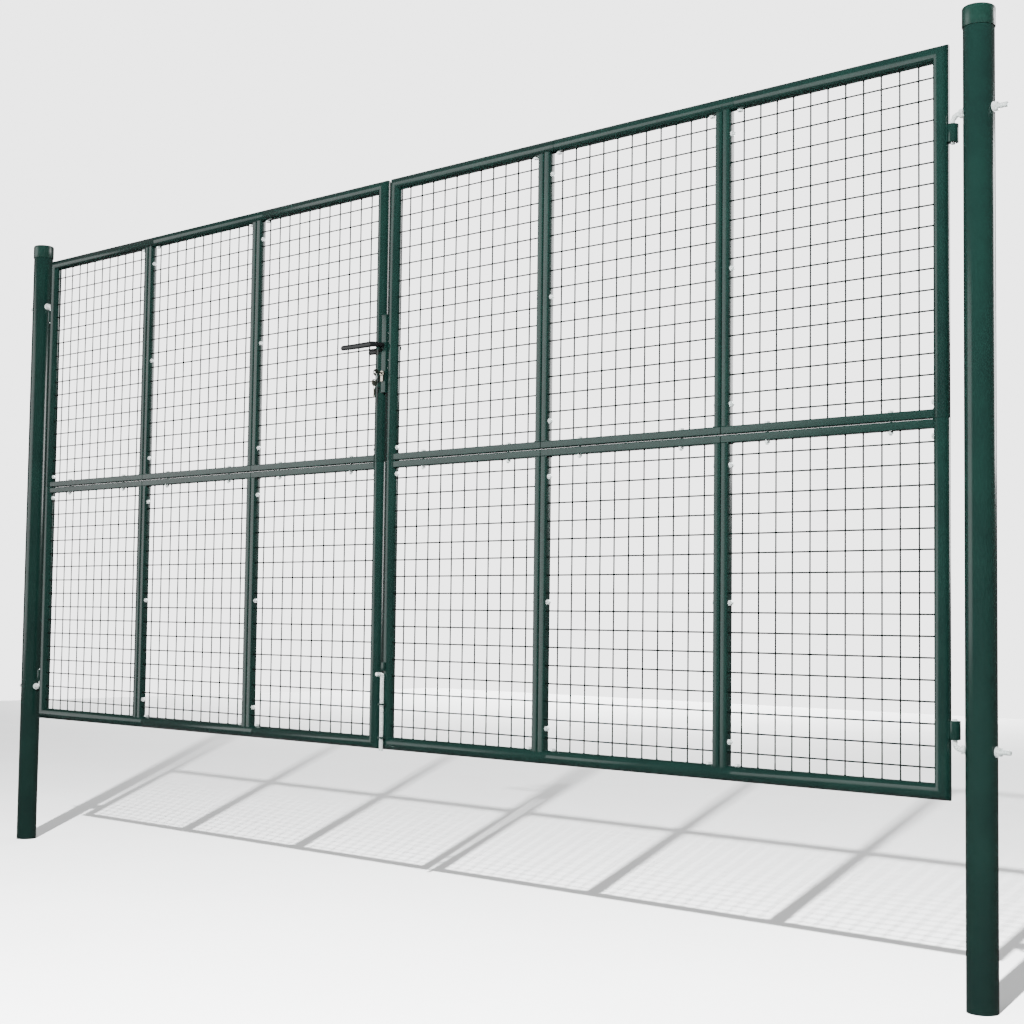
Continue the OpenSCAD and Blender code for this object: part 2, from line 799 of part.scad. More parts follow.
sleeve_bolts(LEFT);  // left_sleeve_bolts
hinge_lugs(LEFT);  // left_hinge_lugs
panel_frame(RIGHT, 0, UPPER);  // right_upper_lock_panel
panel_frame(RIGHT, 1, UPPER);  // right_upper_middle_panel
panel_frame(RIGHT, 2, UPPER);  // right_upper_hinge_panel
panel_frame(RIGHT, 0, LOWER);  // right_lower_lock_panel
panel_frame(RIGHT, 1, LOWER);  // right_lower_middle_panel
panel_frame(RIGHT, 2, LOWER);  // right_lower_hinge_panel
panel_mesh(RIGHT, 0, UPPER);  // right_upper_lock_mesh
panel_mesh(RIGHT, 1, UPPER);  // right_upper_middle_mesh
panel_mesh(RIGHT, 2, UPPER);  // right_upper_hinge_mesh
panel_mesh(RIGHT, 0, LOWER);  // right_lower_lock_mesh
panel_mesh(RIGHT, 1, LOWER);  // right_lower_middle_mesh
panel_mesh(RIGHT, 2, LOWER);  // right_lower_hinge_mesh
frame_bolts(RIGHT);  // right_frame_bolts
frame_nuts(RIGHT);  // right_frame_nuts
tube_sleeves(RIGHT);  // right_tube_sleeves
sleeve_bolts(RIGHT);  // right_sleeve_bolts
hinge_lugs(RIGHT);  // right_hinge_lugs
lock_case();
lock_cylinder();
cylinder_plug();
escutcheons();
lever_spindle();
front_lever();
rear_lever();
latch_bolt();
dead_bolt();
door_key();
key_ring();
spare_key();
keep_channels();
drop_bolt();
drop_bolt_guides();
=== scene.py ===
"""Looks of a double-leaf mesh gate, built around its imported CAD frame.

Every piece is modelled in millimetres in the frame of the gate: the origin lies between the
feet of the posts, +X runs to the right along the closed gate, +Y to the rear and +Z up.
"""
import logging
import math
import random
from dataclasses import dataclass, field
from enum import Enum
from typing import Any, Iterable, Sequence

import bmesh
import bpy
from mathutils import Matrix, Vector


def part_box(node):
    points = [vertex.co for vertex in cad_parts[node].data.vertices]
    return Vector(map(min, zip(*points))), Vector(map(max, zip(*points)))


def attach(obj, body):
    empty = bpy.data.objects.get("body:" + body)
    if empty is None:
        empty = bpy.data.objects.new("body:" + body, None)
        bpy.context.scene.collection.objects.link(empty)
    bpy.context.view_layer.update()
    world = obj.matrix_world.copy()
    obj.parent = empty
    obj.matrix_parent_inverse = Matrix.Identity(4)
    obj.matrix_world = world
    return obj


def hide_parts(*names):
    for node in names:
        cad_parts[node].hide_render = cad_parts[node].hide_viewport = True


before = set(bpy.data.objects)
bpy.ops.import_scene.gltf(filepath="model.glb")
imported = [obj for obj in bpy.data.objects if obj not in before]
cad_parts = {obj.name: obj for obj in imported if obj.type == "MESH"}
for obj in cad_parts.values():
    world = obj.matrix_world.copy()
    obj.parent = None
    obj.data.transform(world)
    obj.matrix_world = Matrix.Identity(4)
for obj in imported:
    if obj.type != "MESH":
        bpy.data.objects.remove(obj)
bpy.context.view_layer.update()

log = logging.getLogger("gate")
MM = 0.001
X, Y, Z = Vector((1, 0, 0)), Vector((0, 1, 0)), Vector((0, 0, 1))


class Leaf(Enum):
    """The two leaves, with the side of the gate that each hangs on."""

    LEFT = -1
    RIGHT = 1


class Row(Enum):
    """The two rows of panels in a leaf."""

    LOWER = 0
    UPPER = 1


class Slot(Enum):
    """Material slots of the record."""

    COAT = "green_powder_coat"
    CAP = "green_cap_plastic"
    WIRE = "mesh_wire"
    ZINC = "zinc_plate"
    NICKEL = "nickel_plate"
    LEVER = "black_lever"


# ---- Finishes ----


def linear(code: str) -> tuple[float, float, float, float]:
    """Turns an sRGB hex colour into a linear colour.

    Args:
        code: Six hex digits after a hash sign.

    Returns:
        Red, green, blue and an alpha of 1.
    """
    parts = [int(code[i : i + 2], 16) / 255 for i in (1, 3, 5)]
    red, green, blue = (
        c / 12.92 if c <= 0.04045 else ((c + 0.055) / 1.055) ** 2.4 for c in parts
    )
    return red, green, blue, 1.0


def add_node(
    tree: bpy.types.NodeTree,
    kind: str,
    settings: dict[str, Any] | None = None,
    values: dict[str | int, Any] | None = None,
    links: dict[str | int, bpy.types.NodeSocket] | None = None,
) -> bpy.types.Node:
    """Adds one node with its settings, socket values and incoming links.

    Args:
        tree: The node tree of a material.
        kind: The node's type name.
        settings: Properties of the node.
        values: Default values of its input sockets.
        links: Output sockets to join to its input sockets.

    Returns:
        The new node.
    """
    made = tree.nodes.new(kind)
    for name, value in (settings or {}).items():
        setattr(made, name, value)
    for name, value in (values or {}).items():
        made.inputs[name].default_value = value
    for name, socket in (links or {}).items():
        tree.links.new(socket, made.inputs[name])
    return made


@dataclass(frozen=True)
class Finish:
    """A surface finish: its colours, its gloss and the size of its grain in millimetres."""

    name: str
    colour: str
    shade: str
    roughness: tuple[float, float]
    metallic: float = 0.0
    patch_mm: float = 90.0
    grain_mm: float = 5.0
    relief_mm: float = 0.05
    coat: float = 0.0
    coat_roughness: float = 0.2
    specular: float = 0.5
    stretch: tuple[float, float, float] = (1.0, 1.0, 1.0)

    def material(self) -> bpy.types.Material:
        """Builds the finish as a material on Object coordinates.

        Returns:
            The material, with patches of colour, uneven gloss and a fine relief.
        """
        made = bpy.data.materials.new(self.name)
        made.use_nodes = True
        tree = made.node_tree
        tree.nodes.clear()
        place = add_node(tree, "ShaderNodeTexCoord").outputs["Object"]
        drawn = add_node(
            tree, "ShaderNodeMapping", values={"Scale": self.stretch}, links={"Vector": place}
        ).outputs["Vector"]
        patches = add_node(
            tree, "ShaderNodeTexNoise",
            values={"Scale": 1 / (self.patch_mm * MM), "Detail": 4.0, "Roughness": 0.6},
            links={"Vector": drawn},
        ).outputs["Fac"]
        grain = add_node(
            tree, "ShaderNodeTexNoise",
            values={"Scale": 1 / (self.grain_mm * MM), "Detail": 3.0, "Roughness": 0.55},
            links={"Vector": drawn},
        ).outputs["Fac"]
        tint = add_node(
            tree, "ShaderNodeMix", {"data_type": "RGBA"},
            {6: linear(self.shade), 7: linear(self.colour)},
            {0: add_node(tree, "ShaderNodeMapRange",
                         values={"From Min": 0.3, "From Max": 0.7},
                         links={"Value": patches}).outputs["Result"]},
        ).outputs[2]
        gloss = add_node(
            tree, "ShaderNodeMapRange",
            values={"From Min": 0.3, "From Max": 0.7,
                    "To Min": self.roughness[0], "To Max": self.roughness[1]},
            links={"Value": grain},
        ).outputs["Result"]
        relief = add_node(
            tree, "ShaderNodeBump",
            values={"Strength": 1.0, "Distance": self.relief_mm * MM},
            links={"Height": grain},
        ).outputs["Normal"]
        shader = add_node(
            tree, "ShaderNodeBsdfPrincipled",
            values={"Metallic": self.metallic, "Coat Weight": self.coat,
                    "Coat Roughness": self.coat_roughness,
                    "Specular IOR Level": self.specular},
            links={"Base Color": tint, "Roughness": gloss, "Normal": relief},
        )
        add_node(
            tree, "ShaderNodeOutputMaterial", links={"Surface": shader.outputs["BSDF"]}
        )
        return made


# Polyester powder coat, sprayed on zinc-coated steel tube and stoved: an even moss green with a
# satin skin. Both its colours are painted many times darker than this moss green: painted shade
# that stands in for the dim light on the gate. Its orange peel is about 1.5 mm from crest to crest
# and is drawn at 4 mm so that it still breaks up the highlights when the whole gate is in view.
POWDER_COAT = Finish("moss_green_powder_coat", "#05120f", "#040e0c", (0.16, 0.25),
                     patch_mm=140, grain_mm=4, relief_mm=0.02, coat=0.1, coat_roughness=0.12,
                     specular=0.3)
# The same coat over drawn wire: thin and dark, with a fine grain.
WIRE_COAT = Finish("dark_green_wire_coat", "#030706", "#020504", (0.42, 0.58),
                   patch_mm=60, grain_mm=3, relief_mm=0.04, specular=0.08)
# Injection moulded polyethylene cap, coloured to match the coat: duller, with a soft grain.
# Like the coat, its colours are painted many times darker than the real green, as painted shade.
CAP_PLASTIC = Finish("moss_green_moulded_plastic", "#061713", "#04120e", (0.28, 0.38),
                     patch_mm=40, grain_mm=2.5, relief_mm=0.03)
# Bright zinc plate on bolts, nuts and hooks: pale and slightly blue, with a barrelled grain. It is
# only 0.8 metallic: its pale matt share, lit by the key light, stands in for the key light's
# reflection, which the key light does not throw.
ZINC = Finish("bright_zinc_plate", "#dfe6e4", "#c3ccca", (0.20, 0.36), metallic=0.8,
              patch_mm=14, grain_mm=1.6, relief_mm=0.02)
# Satin nickel plate on the lock cylinder, bolts and keys: warmer, brushed along the height.
NICKEL = Finish("satin_nickel_plate", "#c9c3b6", "#ada79a", (0.22, 0.34), metallic=1.0,
                patch_mm=10, grain_mm=1.2, relief_mm=0.015, stretch=(1.0, 1.0, 0.15))
# Glass-filled nylon lever, moulded: black, satin, with a fine spark-eroded grain.
LEVER_PLASTIC = Finish("black_moulded_nylon", "#08090a", "#050606", (0.24, 0.34),
                       patch_mm=30, grain_mm=1.5, relief_mm=0.03, specular=0.25)
# Painted studio floor, matt and nearly white.
FLOOR_PAINT = Finish("matt_white_floor_paint", "#f4f5f5", "#eff0f0", (0.75, 0.9),
                     patch_mm=900, grain_mm=40, relief_mm=0.1)

FINISHES: dict[Slot, Finish] = {
    Slot.COAT: POWDER_COAT, Slot.CAP: CAP_PLASTIC, Slot.WIRE: WIRE_COAT,
    Slot.ZINC: ZINC, Slot.NICKEL: NICKEL, Slot.LEVER: LEVER_PLASTIC,
}


class Paints:
    """The gate's materials, each built once."""

    def __init__(self) -> None:
        """Builds the material of every slot and of the floor."""
        self.by_slot = {slot: finish.material() for slot, finish in FINISHES.items()}
        self.floor = FLOOR_PAINT.material()


# ---- Shapes ----


class Shape:
    """One mesh piece under construction, in millimetres."""

    def __init__(self, name: str) -> None:
        """Starts an empty mesh with the piece's name."""
        self.name = name
        self.bm = bmesh.new()

    @staticmethod
    def aim(origin: Vector, direction: Vector) -> Matrix:
        """Gives the matrix that sets +Z along a direction at a place."""
        turn = Vector(direction).to_track_quat("Z", "Y").to_matrix().to_4x4()
        return Matrix.Translation(origin) @ turn

    def bevel(self, edges: Iterable[bmesh.types.BMEdge], width: float, segments: int = 2) -> None:
        """Rounds some edges.

        Args:
            edges: The edges to round.
            width: Width of the rounding.
            segments: Number of faces across it.
        """
        bmesh.ops.bevel(self.bm, geom=list(edges), offset=width, offset_type="OFFSET",
                        segments=segments, profile=0.5, affect="EDGES", clamp_overlap=True,
                        material=-1)

    def box(self, low: Sequence[float], high: Sequence[float], rounding: float = 0.0,
            along: Vector | None = None, segments: int = 2) -> None:
        """Adds a block between two corners, with rounded edges.

        Args:
            low: Its lowest corner.
            high: Its highest corner.
            rounding: Width of the rounding, or 0 for sharp edges.
            along: If given, only the edges along this axis are rounded.
            segments: Number of faces across the rounding.
        """
        size = Vector(high) - Vector(low)
        middle = (Vector(high) + Vector(low)) / 2
        made = bmesh.ops.create_cube(
            self.bm, size=1.0, matrix=Matrix.Translation(middle) @ Matrix.Diagonal((*size, 1.0))
        )["verts"]
        if rounding > 0:
            edges = list(dict.fromkeys(e for v in made for e in v.link_edges))
            if along is not None:
                edges = [e for e in edges
                         if abs((e.verts[1].co - e.verts[0].co).normalized().dot(along)) > 0.9]
            self.bevel(edges, rounding, segments)

    def pipe(self, path: Sequence[Vector], radius: float, wall: float = 0.0, sides: int = 32,
             rim: float = 0.0, closed: bool = False) -> None:
        """Sweeps a round bar or tube along a path, mitred at every corner.

        Args:
            path: The points of its centre line.
            radius: Its outer radius.
            wall: Its wall, or 0 for a solid bar.
            sides: Number of sides.
            rim: Width of the rounding on its ends.
            closed: Whether the path returns to its first point.
        """
        points = [Vector(p) for p in path]
        ends = []
        for r in ([radius, radius - wall] if wall else [radius]):
            first, last = self._skin(points, r, sides, closed)
            ends.append((first, last))
        if closed:
            return
        for i in (0, 1):
            if wall:
                bmesh.ops.bridge_loops(self.bm, edges=ends[0][i] + ends[1][i])
            else:
                bmesh.ops.contextual_create(self.bm, geom=ends[0][i])
        if rim > 0:
            for i in (0, 1):
                self.bevel([e for e in ends[0][i] if e.is_valid], rim, 2)

    def _skin(self, points: list[Vector], radius: float, sides: int,
              closed: bool) -> tuple[list[bmesh.types.BMEdge], list[bmesh.types.BMEdge]]:
        """Sweeps the open skin of a pipe.

        Args:
            points: The points of its centre line.
            radius: Its radius.
            sides: Number of sides.
            closed: Whether the path returns to its first point.

        Returns:
            The edges of its first and last rings.
        """
        runs = [(b - a).normalized() for a, b in zip(points, points[1:])]
        if closed:
            runs.append((points[0] - points[-1]).normalized())
            start_plane = (runs[-1] + runs[0]).normalized()
        else:
            start_plane = runs[0]
        frame_up = X if abs(runs[0].dot(X)) < 0.9 else Y
        side = runs[0].cross(frame_up).normalized()
        upward = side.cross(runs[0])
        basis = Matrix((side, upward, runs[0])).transposed().to_4x4()
        ring = bmesh.ops.create_circle(self.bm, cap_ends=False, radius=radius, segments=sides,
                                       matrix=Matrix.Translation(points[0]) @ basis)["verts"]
        if closed:
            for v in ring:
                v.co += runs[0] * ((points[0] - v.co).dot(start_plane) / runs[0].dot(start_plane))
        edges = list(dict.fromkeys(e for v in ring for e in v.link_edges))
        first = edges
        stops = points[1:] + ([points[0]] if closed else [])
        for i, stop in enumerate(stops):
            run = runs[i]
            onward = runs[(i + 1) % len(runs)] if (closed or i + 1 < len(runs)) else run
            plane = (run + onward).normalized()
            grown = bmesh.ops.extrude_edge_only(self.bm, edges=edges)["geom"]
            edges = [g for g in grown if isinstance(g, bmesh.types.BMEdge)]
            moved = [g for g in grown if isinstance(g, bmesh.types.BMVert)]
            edges = [e for e in edges if e.verts[0] in moved and e.verts[1] in moved]
            for v in moved:
                v.co += run * ((stop - v.co).dot(plane) / run.dot(plane))
        return first, edges

    def lathe(self, profile: Sequence[tuple[float, float]], origin: Vector, direction: Vector,
              sides: int = 32) -> None:
        """Spins a profile about an axis.

        Args:
            profile: Radius and height of each point, from one end to the other.
            origin: Where the axis starts.
            direction: Where the axis points.
            sides: Number of steps in the turn.
        """
        place = self.aim(Vector(origin), Vector(direction))
        verts = [bmesh.ops.create_vert(self.bm, co=place @ Vector((r, 0, h)))["vert"][0]
                 for r, h in profile]
        edges = [bmesh.ops.contextual_create(self.bm, geom=[a, b])["edges"][0]
                 for a, b in zip(verts, verts[1:])]
        bmesh.ops.spin(self.bm, geom=verts + edges, cent=place.translation,
                       axis=place.to_3x3() @ Z, dvec=(0, 0, 0), angle=math.tau, steps=sides,
                       use_merge=True, use_duplicate=False)
        near = [v for v in self.bm.verts if v.is_valid]
        bmesh.ops.remove_doubles(self.bm, verts=near, dist=0.0005)

    def hexagon(self, origin: Vector, direction: Vector, flats: float, thick: float,
                chamfers: tuple[bool, bool] = (False, True)) -> None:
        """Adds a hexagon head or nut with its corners turned down.

        Args:
            origin: Middle of its first face.
            direction: Where it grows from there.
            flats: Its size across the flats.
            thick: Its thickness.
            chamfers: Whether its first and its last face are turned down.
        """
        place = self.aim(Vector(origin), Vector(direction))
        flat_r = flats / 2
        corner_r = flat_r / math.cos(math.radians(30))
        drop = (corner_r - flat_r) * math.tan(math.radians(30))
        ring = bmesh.ops.create_circle(self.bm, cap_ends=False, radius=1.0, segments=12)["verts"]
        edges = list(dict.fromkeys(e for v in ring for e in v.link_edges))
        every: list[bmesh.types.BMVert] = []
        for level in range(4):
            if level:
                grown = bmesh.ops.extrude_edge_only(self.bm, edges=edges)["geom"]
                ring = [g for g in grown if isinstance(g, bmesh.types.BMVert)]
                fresh = set(ring)
                edges = [g for g in grown if isinstance(g, bmesh.types.BMEdge)
                         and g.verts[0] in fresh and g.verts[1] in fresh]
            else:
                bmesh.ops.contextual_create(self.bm, geom=edges)
            turned = chamfers[0] if level < 2 else chamfers[1]
            for v in ring:
                angle = math.atan2(v.co.y, v.co.x)
                at_corner = round(math.degrees(angle) / 30) % 2 == 0
                reach = corner_r if at_corner else flat_r
                inset = drop if turned and at_corner else 0.02
                if level in (0, 3):
                    inset, reach = 0.0, (flat_r * 0.97 if turned else reach)
                height = inset if level < 2 else thick - inset
                v.co = Vector((reach * math.cos(angle), reach * math.sin(angle), height))
            every += ring
        bmesh.ops.contextual_create(self.bm, geom=edges)
        bmesh.ops.transform(self.bm, matrix=place, verts=every)

    def thread(self, origin: Vector, direction: Vector, length: float, radius: float,
               pitch: float, sides: int = 20) -> None:
        """Adds a length of threaded rod with a chamfered end.

        Args:
            origin: Middle of its first end.
            direction: Where it grows from there.
            length: Its length.
            radius: Its outer radius.
            pitch: Distance from one crest to the next.
            sides: Number of sides.
        """
        root = radius - 0.55 * pitch
        profile = [(0.0, 0.0), (root, 0.0)]
        for i in range(int((length - pitch) / pitch)):
            profile += [(radius, (i + 0.4) * pitch), (radius, (i + 0.6) * pitch),
                        (root, (i + 1.0) * pitch)]
        profile += [(radius, length - 0.8 * pitch), (root, length), (0.0, length)]
        self.lathe(profile, origin, direction, sides)

    def bead(self, path: Sequence[Vector], radius: float, closed: bool = False) -> None:
        """Lays a weld bead along a path, with ripples that swell and shrink along it.

        Args:
            path: The points of its middle line.
            radius: Its mean radius.
            closed: Whether the path returns to its first point.
        """
        before = len(self.bm.verts)
        self.pipe(path, radius, sides=8, closed=closed)
        self.bm.verts.ensure_lookup_table()
        points = [Vector(p) for p in path]
        for v in self.bm.verts[before:]:
            nearest = min(range(len(points)), key=lambda i: (points[i] - v.co).length_squared)
            if nearest % 2:
                v.co = points[nearest] + (v.co - points[nearest]) * 0.72

    def finish(self, slot: Slot, body: str, replaces: Sequence[str], paints: Paints,
               sharp_deg: float = 38.0) -> bpy.types.Object:
        """Turns the shape into a dressed piece that rides on a body.

        Args:
            slot: The material slot of its finish.
            body: The CAD body that it moves with.
            replaces: The CAD nodes that it stands for.
            paints: The gate's materials.
            sharp_deg: Edges that turn by more than this stay sharp.

        Returns:
            The piece's object.
        """
        bm = self.bm
        bmesh.ops.remove_doubles(bm, verts=bm.verts, dist=0.0005)
        bmesh.ops.recalc_face_normals(bm, faces=bm.faces)
        limit = math.radians(sharp_deg)
        for face in bm.faces:
            face.smooth = True
        for edge in bm.edges:
            edge.smooth = edge.is_manifold and edge.calc_face_angle(0.0) < limit
        bmesh.ops.scale(bm, vec=(MM, MM, MM), verts=bm.verts)
        mesh = bpy.data.meshes.new(self.name)
        bm.to_mesh(mesh)
        bm.free()
        made = bpy.data.objects.new(self.name, mesh)
        bpy.context.scene.collection.objects.link(made)
        mesh.materials.append(paints.by_slot[slot])
        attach(made, body)
        if replaces:
            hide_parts(*replaces)
        log.info("%s: %d faces, rides on %s", self.name, len(mesh.polygons), body)
        return made


# ---- Sizes ----


def corner(node: str) -> tuple[Vector, Vector]:
    """Gives a CAD node's lowest and highest corner in millimetres."""
    low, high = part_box(node)
    return low / MM, high / MM


@dataclass(frozen=True)
class Plan:
    """Sizes that the gate's sub-assemblies share, in millimetres."""

    frame_r: float = 19.0
    frame_wall: float = 1.5
    inner_w: float = 20.0
    inner_half: float = 12.5
    groove: float = 3.0
    seam: float = 40.0
    keep_height: float = 25.0
    keep_slack: float = 0.05
    pitch: float = 50.0
    first_wire_x: float = 60.0
    first_wire_z: float = 53.0
    lines: dict[Leaf, list[float]] = field(default_factory=dict)
    rails: tuple[float, float, float] = (0.0, 0.0, 0.0)
    post_x: float = 0.0

    @classmethod
    def from_frame(cls) -> "Plan":
        """Reads the column lines, the rails and the post places from the CAD frame."""
        low = corner("right_lower_lock_panel")[0]
        high = corner("right_upper_hinge_panel")[1]
        closing, outer = low.x + cls.frame_r, high.x - cls.frame_r
        step = (outer - closing) / 3
        lines = {
            Leaf.RIGHT: [closing + i * step for i in range(4)],
            Leaf.LEFT: [-outer + i * step for i in range(4)],
        }
        bottom, top = low.z + cls.frame_r, high.z - cls.frame_r
        post = corner("right_post")
        return cls(lines=lines, rails=(bottom, (bottom + top) / 2, top),
                   post_x=(post[0].x + post[1].x) / 2)

    @property
    def pair_half(self) -> float:
        """Half the width of two inner tubes with the groove between them."""
        return self.groove / 2 + self.inner_w


def leaf_word(leaf: Leaf) -> str:
    """Gives a leaf's word in node names."""
    return leaf.name.lower()


def panel_word(leaf: Leaf, column: int) -> str:
    """Gives a panel column's word in node names, from its place between hinge and lock."""
    words = ["hinge", "middle", "lock"]
    return words[column] if leaf is Leaf.LEFT else words[2 - column]


def rounded_loop(half_u: float, half_v: float, radius: float,
                 per_side: int = 4) -> list[tuple[float, float]]:
    """Walks once round a rounded rectangle.

    Args:
        half_u: Half its first side.
        half_v: Half its second side.
        radius: Radius of its corners.
        per_side: Number of steps along each side.

    Returns:
        The points of the loop.
    """
    points = []
    for i, (su, sv) in enumerate(((1, 1), (-1, 1), (-1, -1), (1, -1))):
        for step in range(4):
            angle = math.pi / 2 * (i + step / 3)
            points.append((su * (half_u - radius) + radius * math.cos(angle),
                           sv * (half_v - radius) + radius * math.sin(angle)))
        here = points[-1]
        nu, nv = ((-1, 1), (-1, -1), (1, -1), (1, 1))[i]
        there = ((nu * (half_u - radius), nv * half_v) if i % 2 == 0
                 else (nu * half_u, nv * (half_v - radius)))
        points += [(here[0] + (there[0] - here[0]) * k / per_side,
                    here[1] + (there[1] - here[1]) * k / per_side) for k in range(1, per_side)]
    return points


# ---- Posts and hinges ----


@dataclass
class Post:
    """A round post with its cap."""

    leaf: Leaf
    plan: Plan
    paints: Paints
    radius: float = 36.0
    wall: float = 2.0
    cap_wall: float = 2.0
    cap_edge: float = 6.0

    def build(self) -> None:
        """Builds the tube and the cap."""
        word = leaf_word(self.leaf)
        x = self.leaf.value * self.plan.post_x
        tube = Shape(f"{word}_post_tube")
        top = corner(f"{word}_post")[1].z
        tube.pipe([Vector((x, 0, 0)), Vector((x, 0, top))], self.radius, self.wall,
                  sides=96, rim=0.5)
        tube.finish(Slot.COAT, "posts", [f"{word}_post"], self.paints)
        low, high = corner(f"{word}_post_cap")
        height, outer, inner = high.z - low.z, self.radius + self.cap_wall, self.radius + 0.05
        edge = self.cap_edge
        arc = [(outer - edge + edge * math.cos(a), height - edge + edge * math.sin(a))
               for a in (math.pi / 2 * k / 6 for k in range(7))]
        cap = Shape(f"{word}_moulded_cap")
        cap.lathe([(0, height - 3), (inner, height - 3), (inner, 0.6), (inner + 0.4, 0),
                   (outer - 0.6, 0), (outer, 0.8), *arc, (outer - edge - 2, height),
                   (0, height)], Vector((x, 0, low.z)), Z, 96)
        cap.finish(Slot.CAP, "posts", [f"{word}_post_cap"], self.paints)


@dataclass
class HingeSide:
    """The two hooks of one post, with their nuts, washers and the barrels on the leaf."""

    leaf: Leaf
    plan: Plan
    paints: Paints
    rod_r: float = 6.0
    pitch: float = 1.75
    bend: float = 16.0
    nut_flats: float = 19.0
    nut_thick: float = 10.0
    washer_r: float = 12.0
    washer_thick: float = 2.0
    barrel_r: float = 13.0
    barrel_height: float = 43.0

    def build(self) -> None:
        """Builds the hooks, nuts, washers and barrels."""
        word = leaf_word(self.leaf)
        low, high = corner(f"{word}_hinge_hooks")
        self.side = self.leaf.value
        self.axis_x = self.side * (min(abs(low.x), abs(high.x)) + self.rod_r)
        self.rod_end = max(abs(low.x), abs(high.x))
        self.rods = [(low.z + self.rod_r, 1), (high.z - self.rod_r, -1)]
        lugs = corner(f"{word}_hinge_lugs")
        self.barrels = [lugs[0].z + self.barrel_height / 2, lugs[1].z - self.barrel_height / 2]
        self._hooks(word)
        self._fasteners(word)
        self._barrels(word)

    def _hooks(self, word: str) -> None:
        """Builds the threaded rods, each bent into an upright pin."""
        hooks = Shape(f"{word}_threaded_hooks")
        for z, turn in self.rods:
            start = self.axis_x + self.side * (self.bend + 3)
            path = [Vector((start, 0, z))]
            for k in range(9):
                angle = math.pi / 2 * k / 8
                path.append(Vector((self.axis_x + self.side * self.bend * (1 - math.sin(angle)), 0,
                                    z + turn * self.bend * (1 - math.cos(angle)))))
            tip = z + turn * (self.bend + self.barrel_height + 9)
            path.append(Vector((self.axis_x, 0, tip)))
            hooks.pipe(path, self.rod_r, sides=32, rim=1.0)
            hooks.thread(Vector((self.side * self.rod_end, 0, z)), X * -self.side,
                         self.rod_end - abs(start) + 1, self.rod_r, self.pitch, 24)
        hooks.finish(Slot.ZINC, "posts", [f"{word}_hinge_hooks"], self.paints)

    def _fasteners(self, word: str) -> None:
        """Builds the nuts and washers on both faces of the post."""
        nuts, washers = Shape(f"{word}_hook_hexagon_nuts"), Shape(f"{word}_hook_flat_washers")
        edge = 0.4
        profile = [(0, 0), (self.washer_r - edge, 0), (self.washer_r, edge),
                   (self.washer_r, self.washer_thick - edge),
                   (self.washer_r - edge, self.washer_thick), (0, self.washer_thick)]
        for z, _ in self.rods:
            for way in (-1, 1):
                seat = Vector((self.side * self.plan.post_x + way * 36.05, 0, z))
                washers.lathe(profile, seat, X * way, 32)
                nuts.hexagon(seat + X * way * self.washer_thick, X * way, self.nut_flats,
                             self.nut_thick, (True, True))
        nuts.finish(Slot.ZINC, "posts", [f"{word}_hook_nuts"], self.paints)
        washers.finish(Slot.ZINC, "posts", [f"{word}_hook_washers"], self.paints)

    def _barrels(self, word: str) -> None:
        """Builds the bored barrels and the welds that hold them to the outer stile."""
        barrels = Shape(f"{word}_hinge_barrels")
        bore, edge = self.rod_r + 0.06, 1.0
        r, h = self.barrel_r, self.barrel_height
        stile_x = self.side * self.plan.lines[Leaf.RIGHT][3]
        for z in self.barrels:
            barrels.lathe([(bore, 0.5), (bore + 0.5, 0), (r - edge, 0), (r - 0.3, 0.3), (r, edge),
                           (r, h - edge), (r - 0.3, h - 0.3), (r - edge, h), (bore + 0.5, h),
                           (bore, h - 0.5), (bore, 0.5)],
                          Vector((self.axis_x, 0, z - h / 2)), Z, 48)
            for way in (-1, 1):
                x = stile_x + self.side * 17.9
                barrels.bead([Vector((x, way * 7.0, z - h / 2 + 1 + k * (h - 2) / 20))
                              for k in range(21)], 2.6)
        barrels.finish(Slot.COAT, f"{word}_leaf", [f"{word}_hinge_lugs"], self.paints)


# ---- Leaves ----


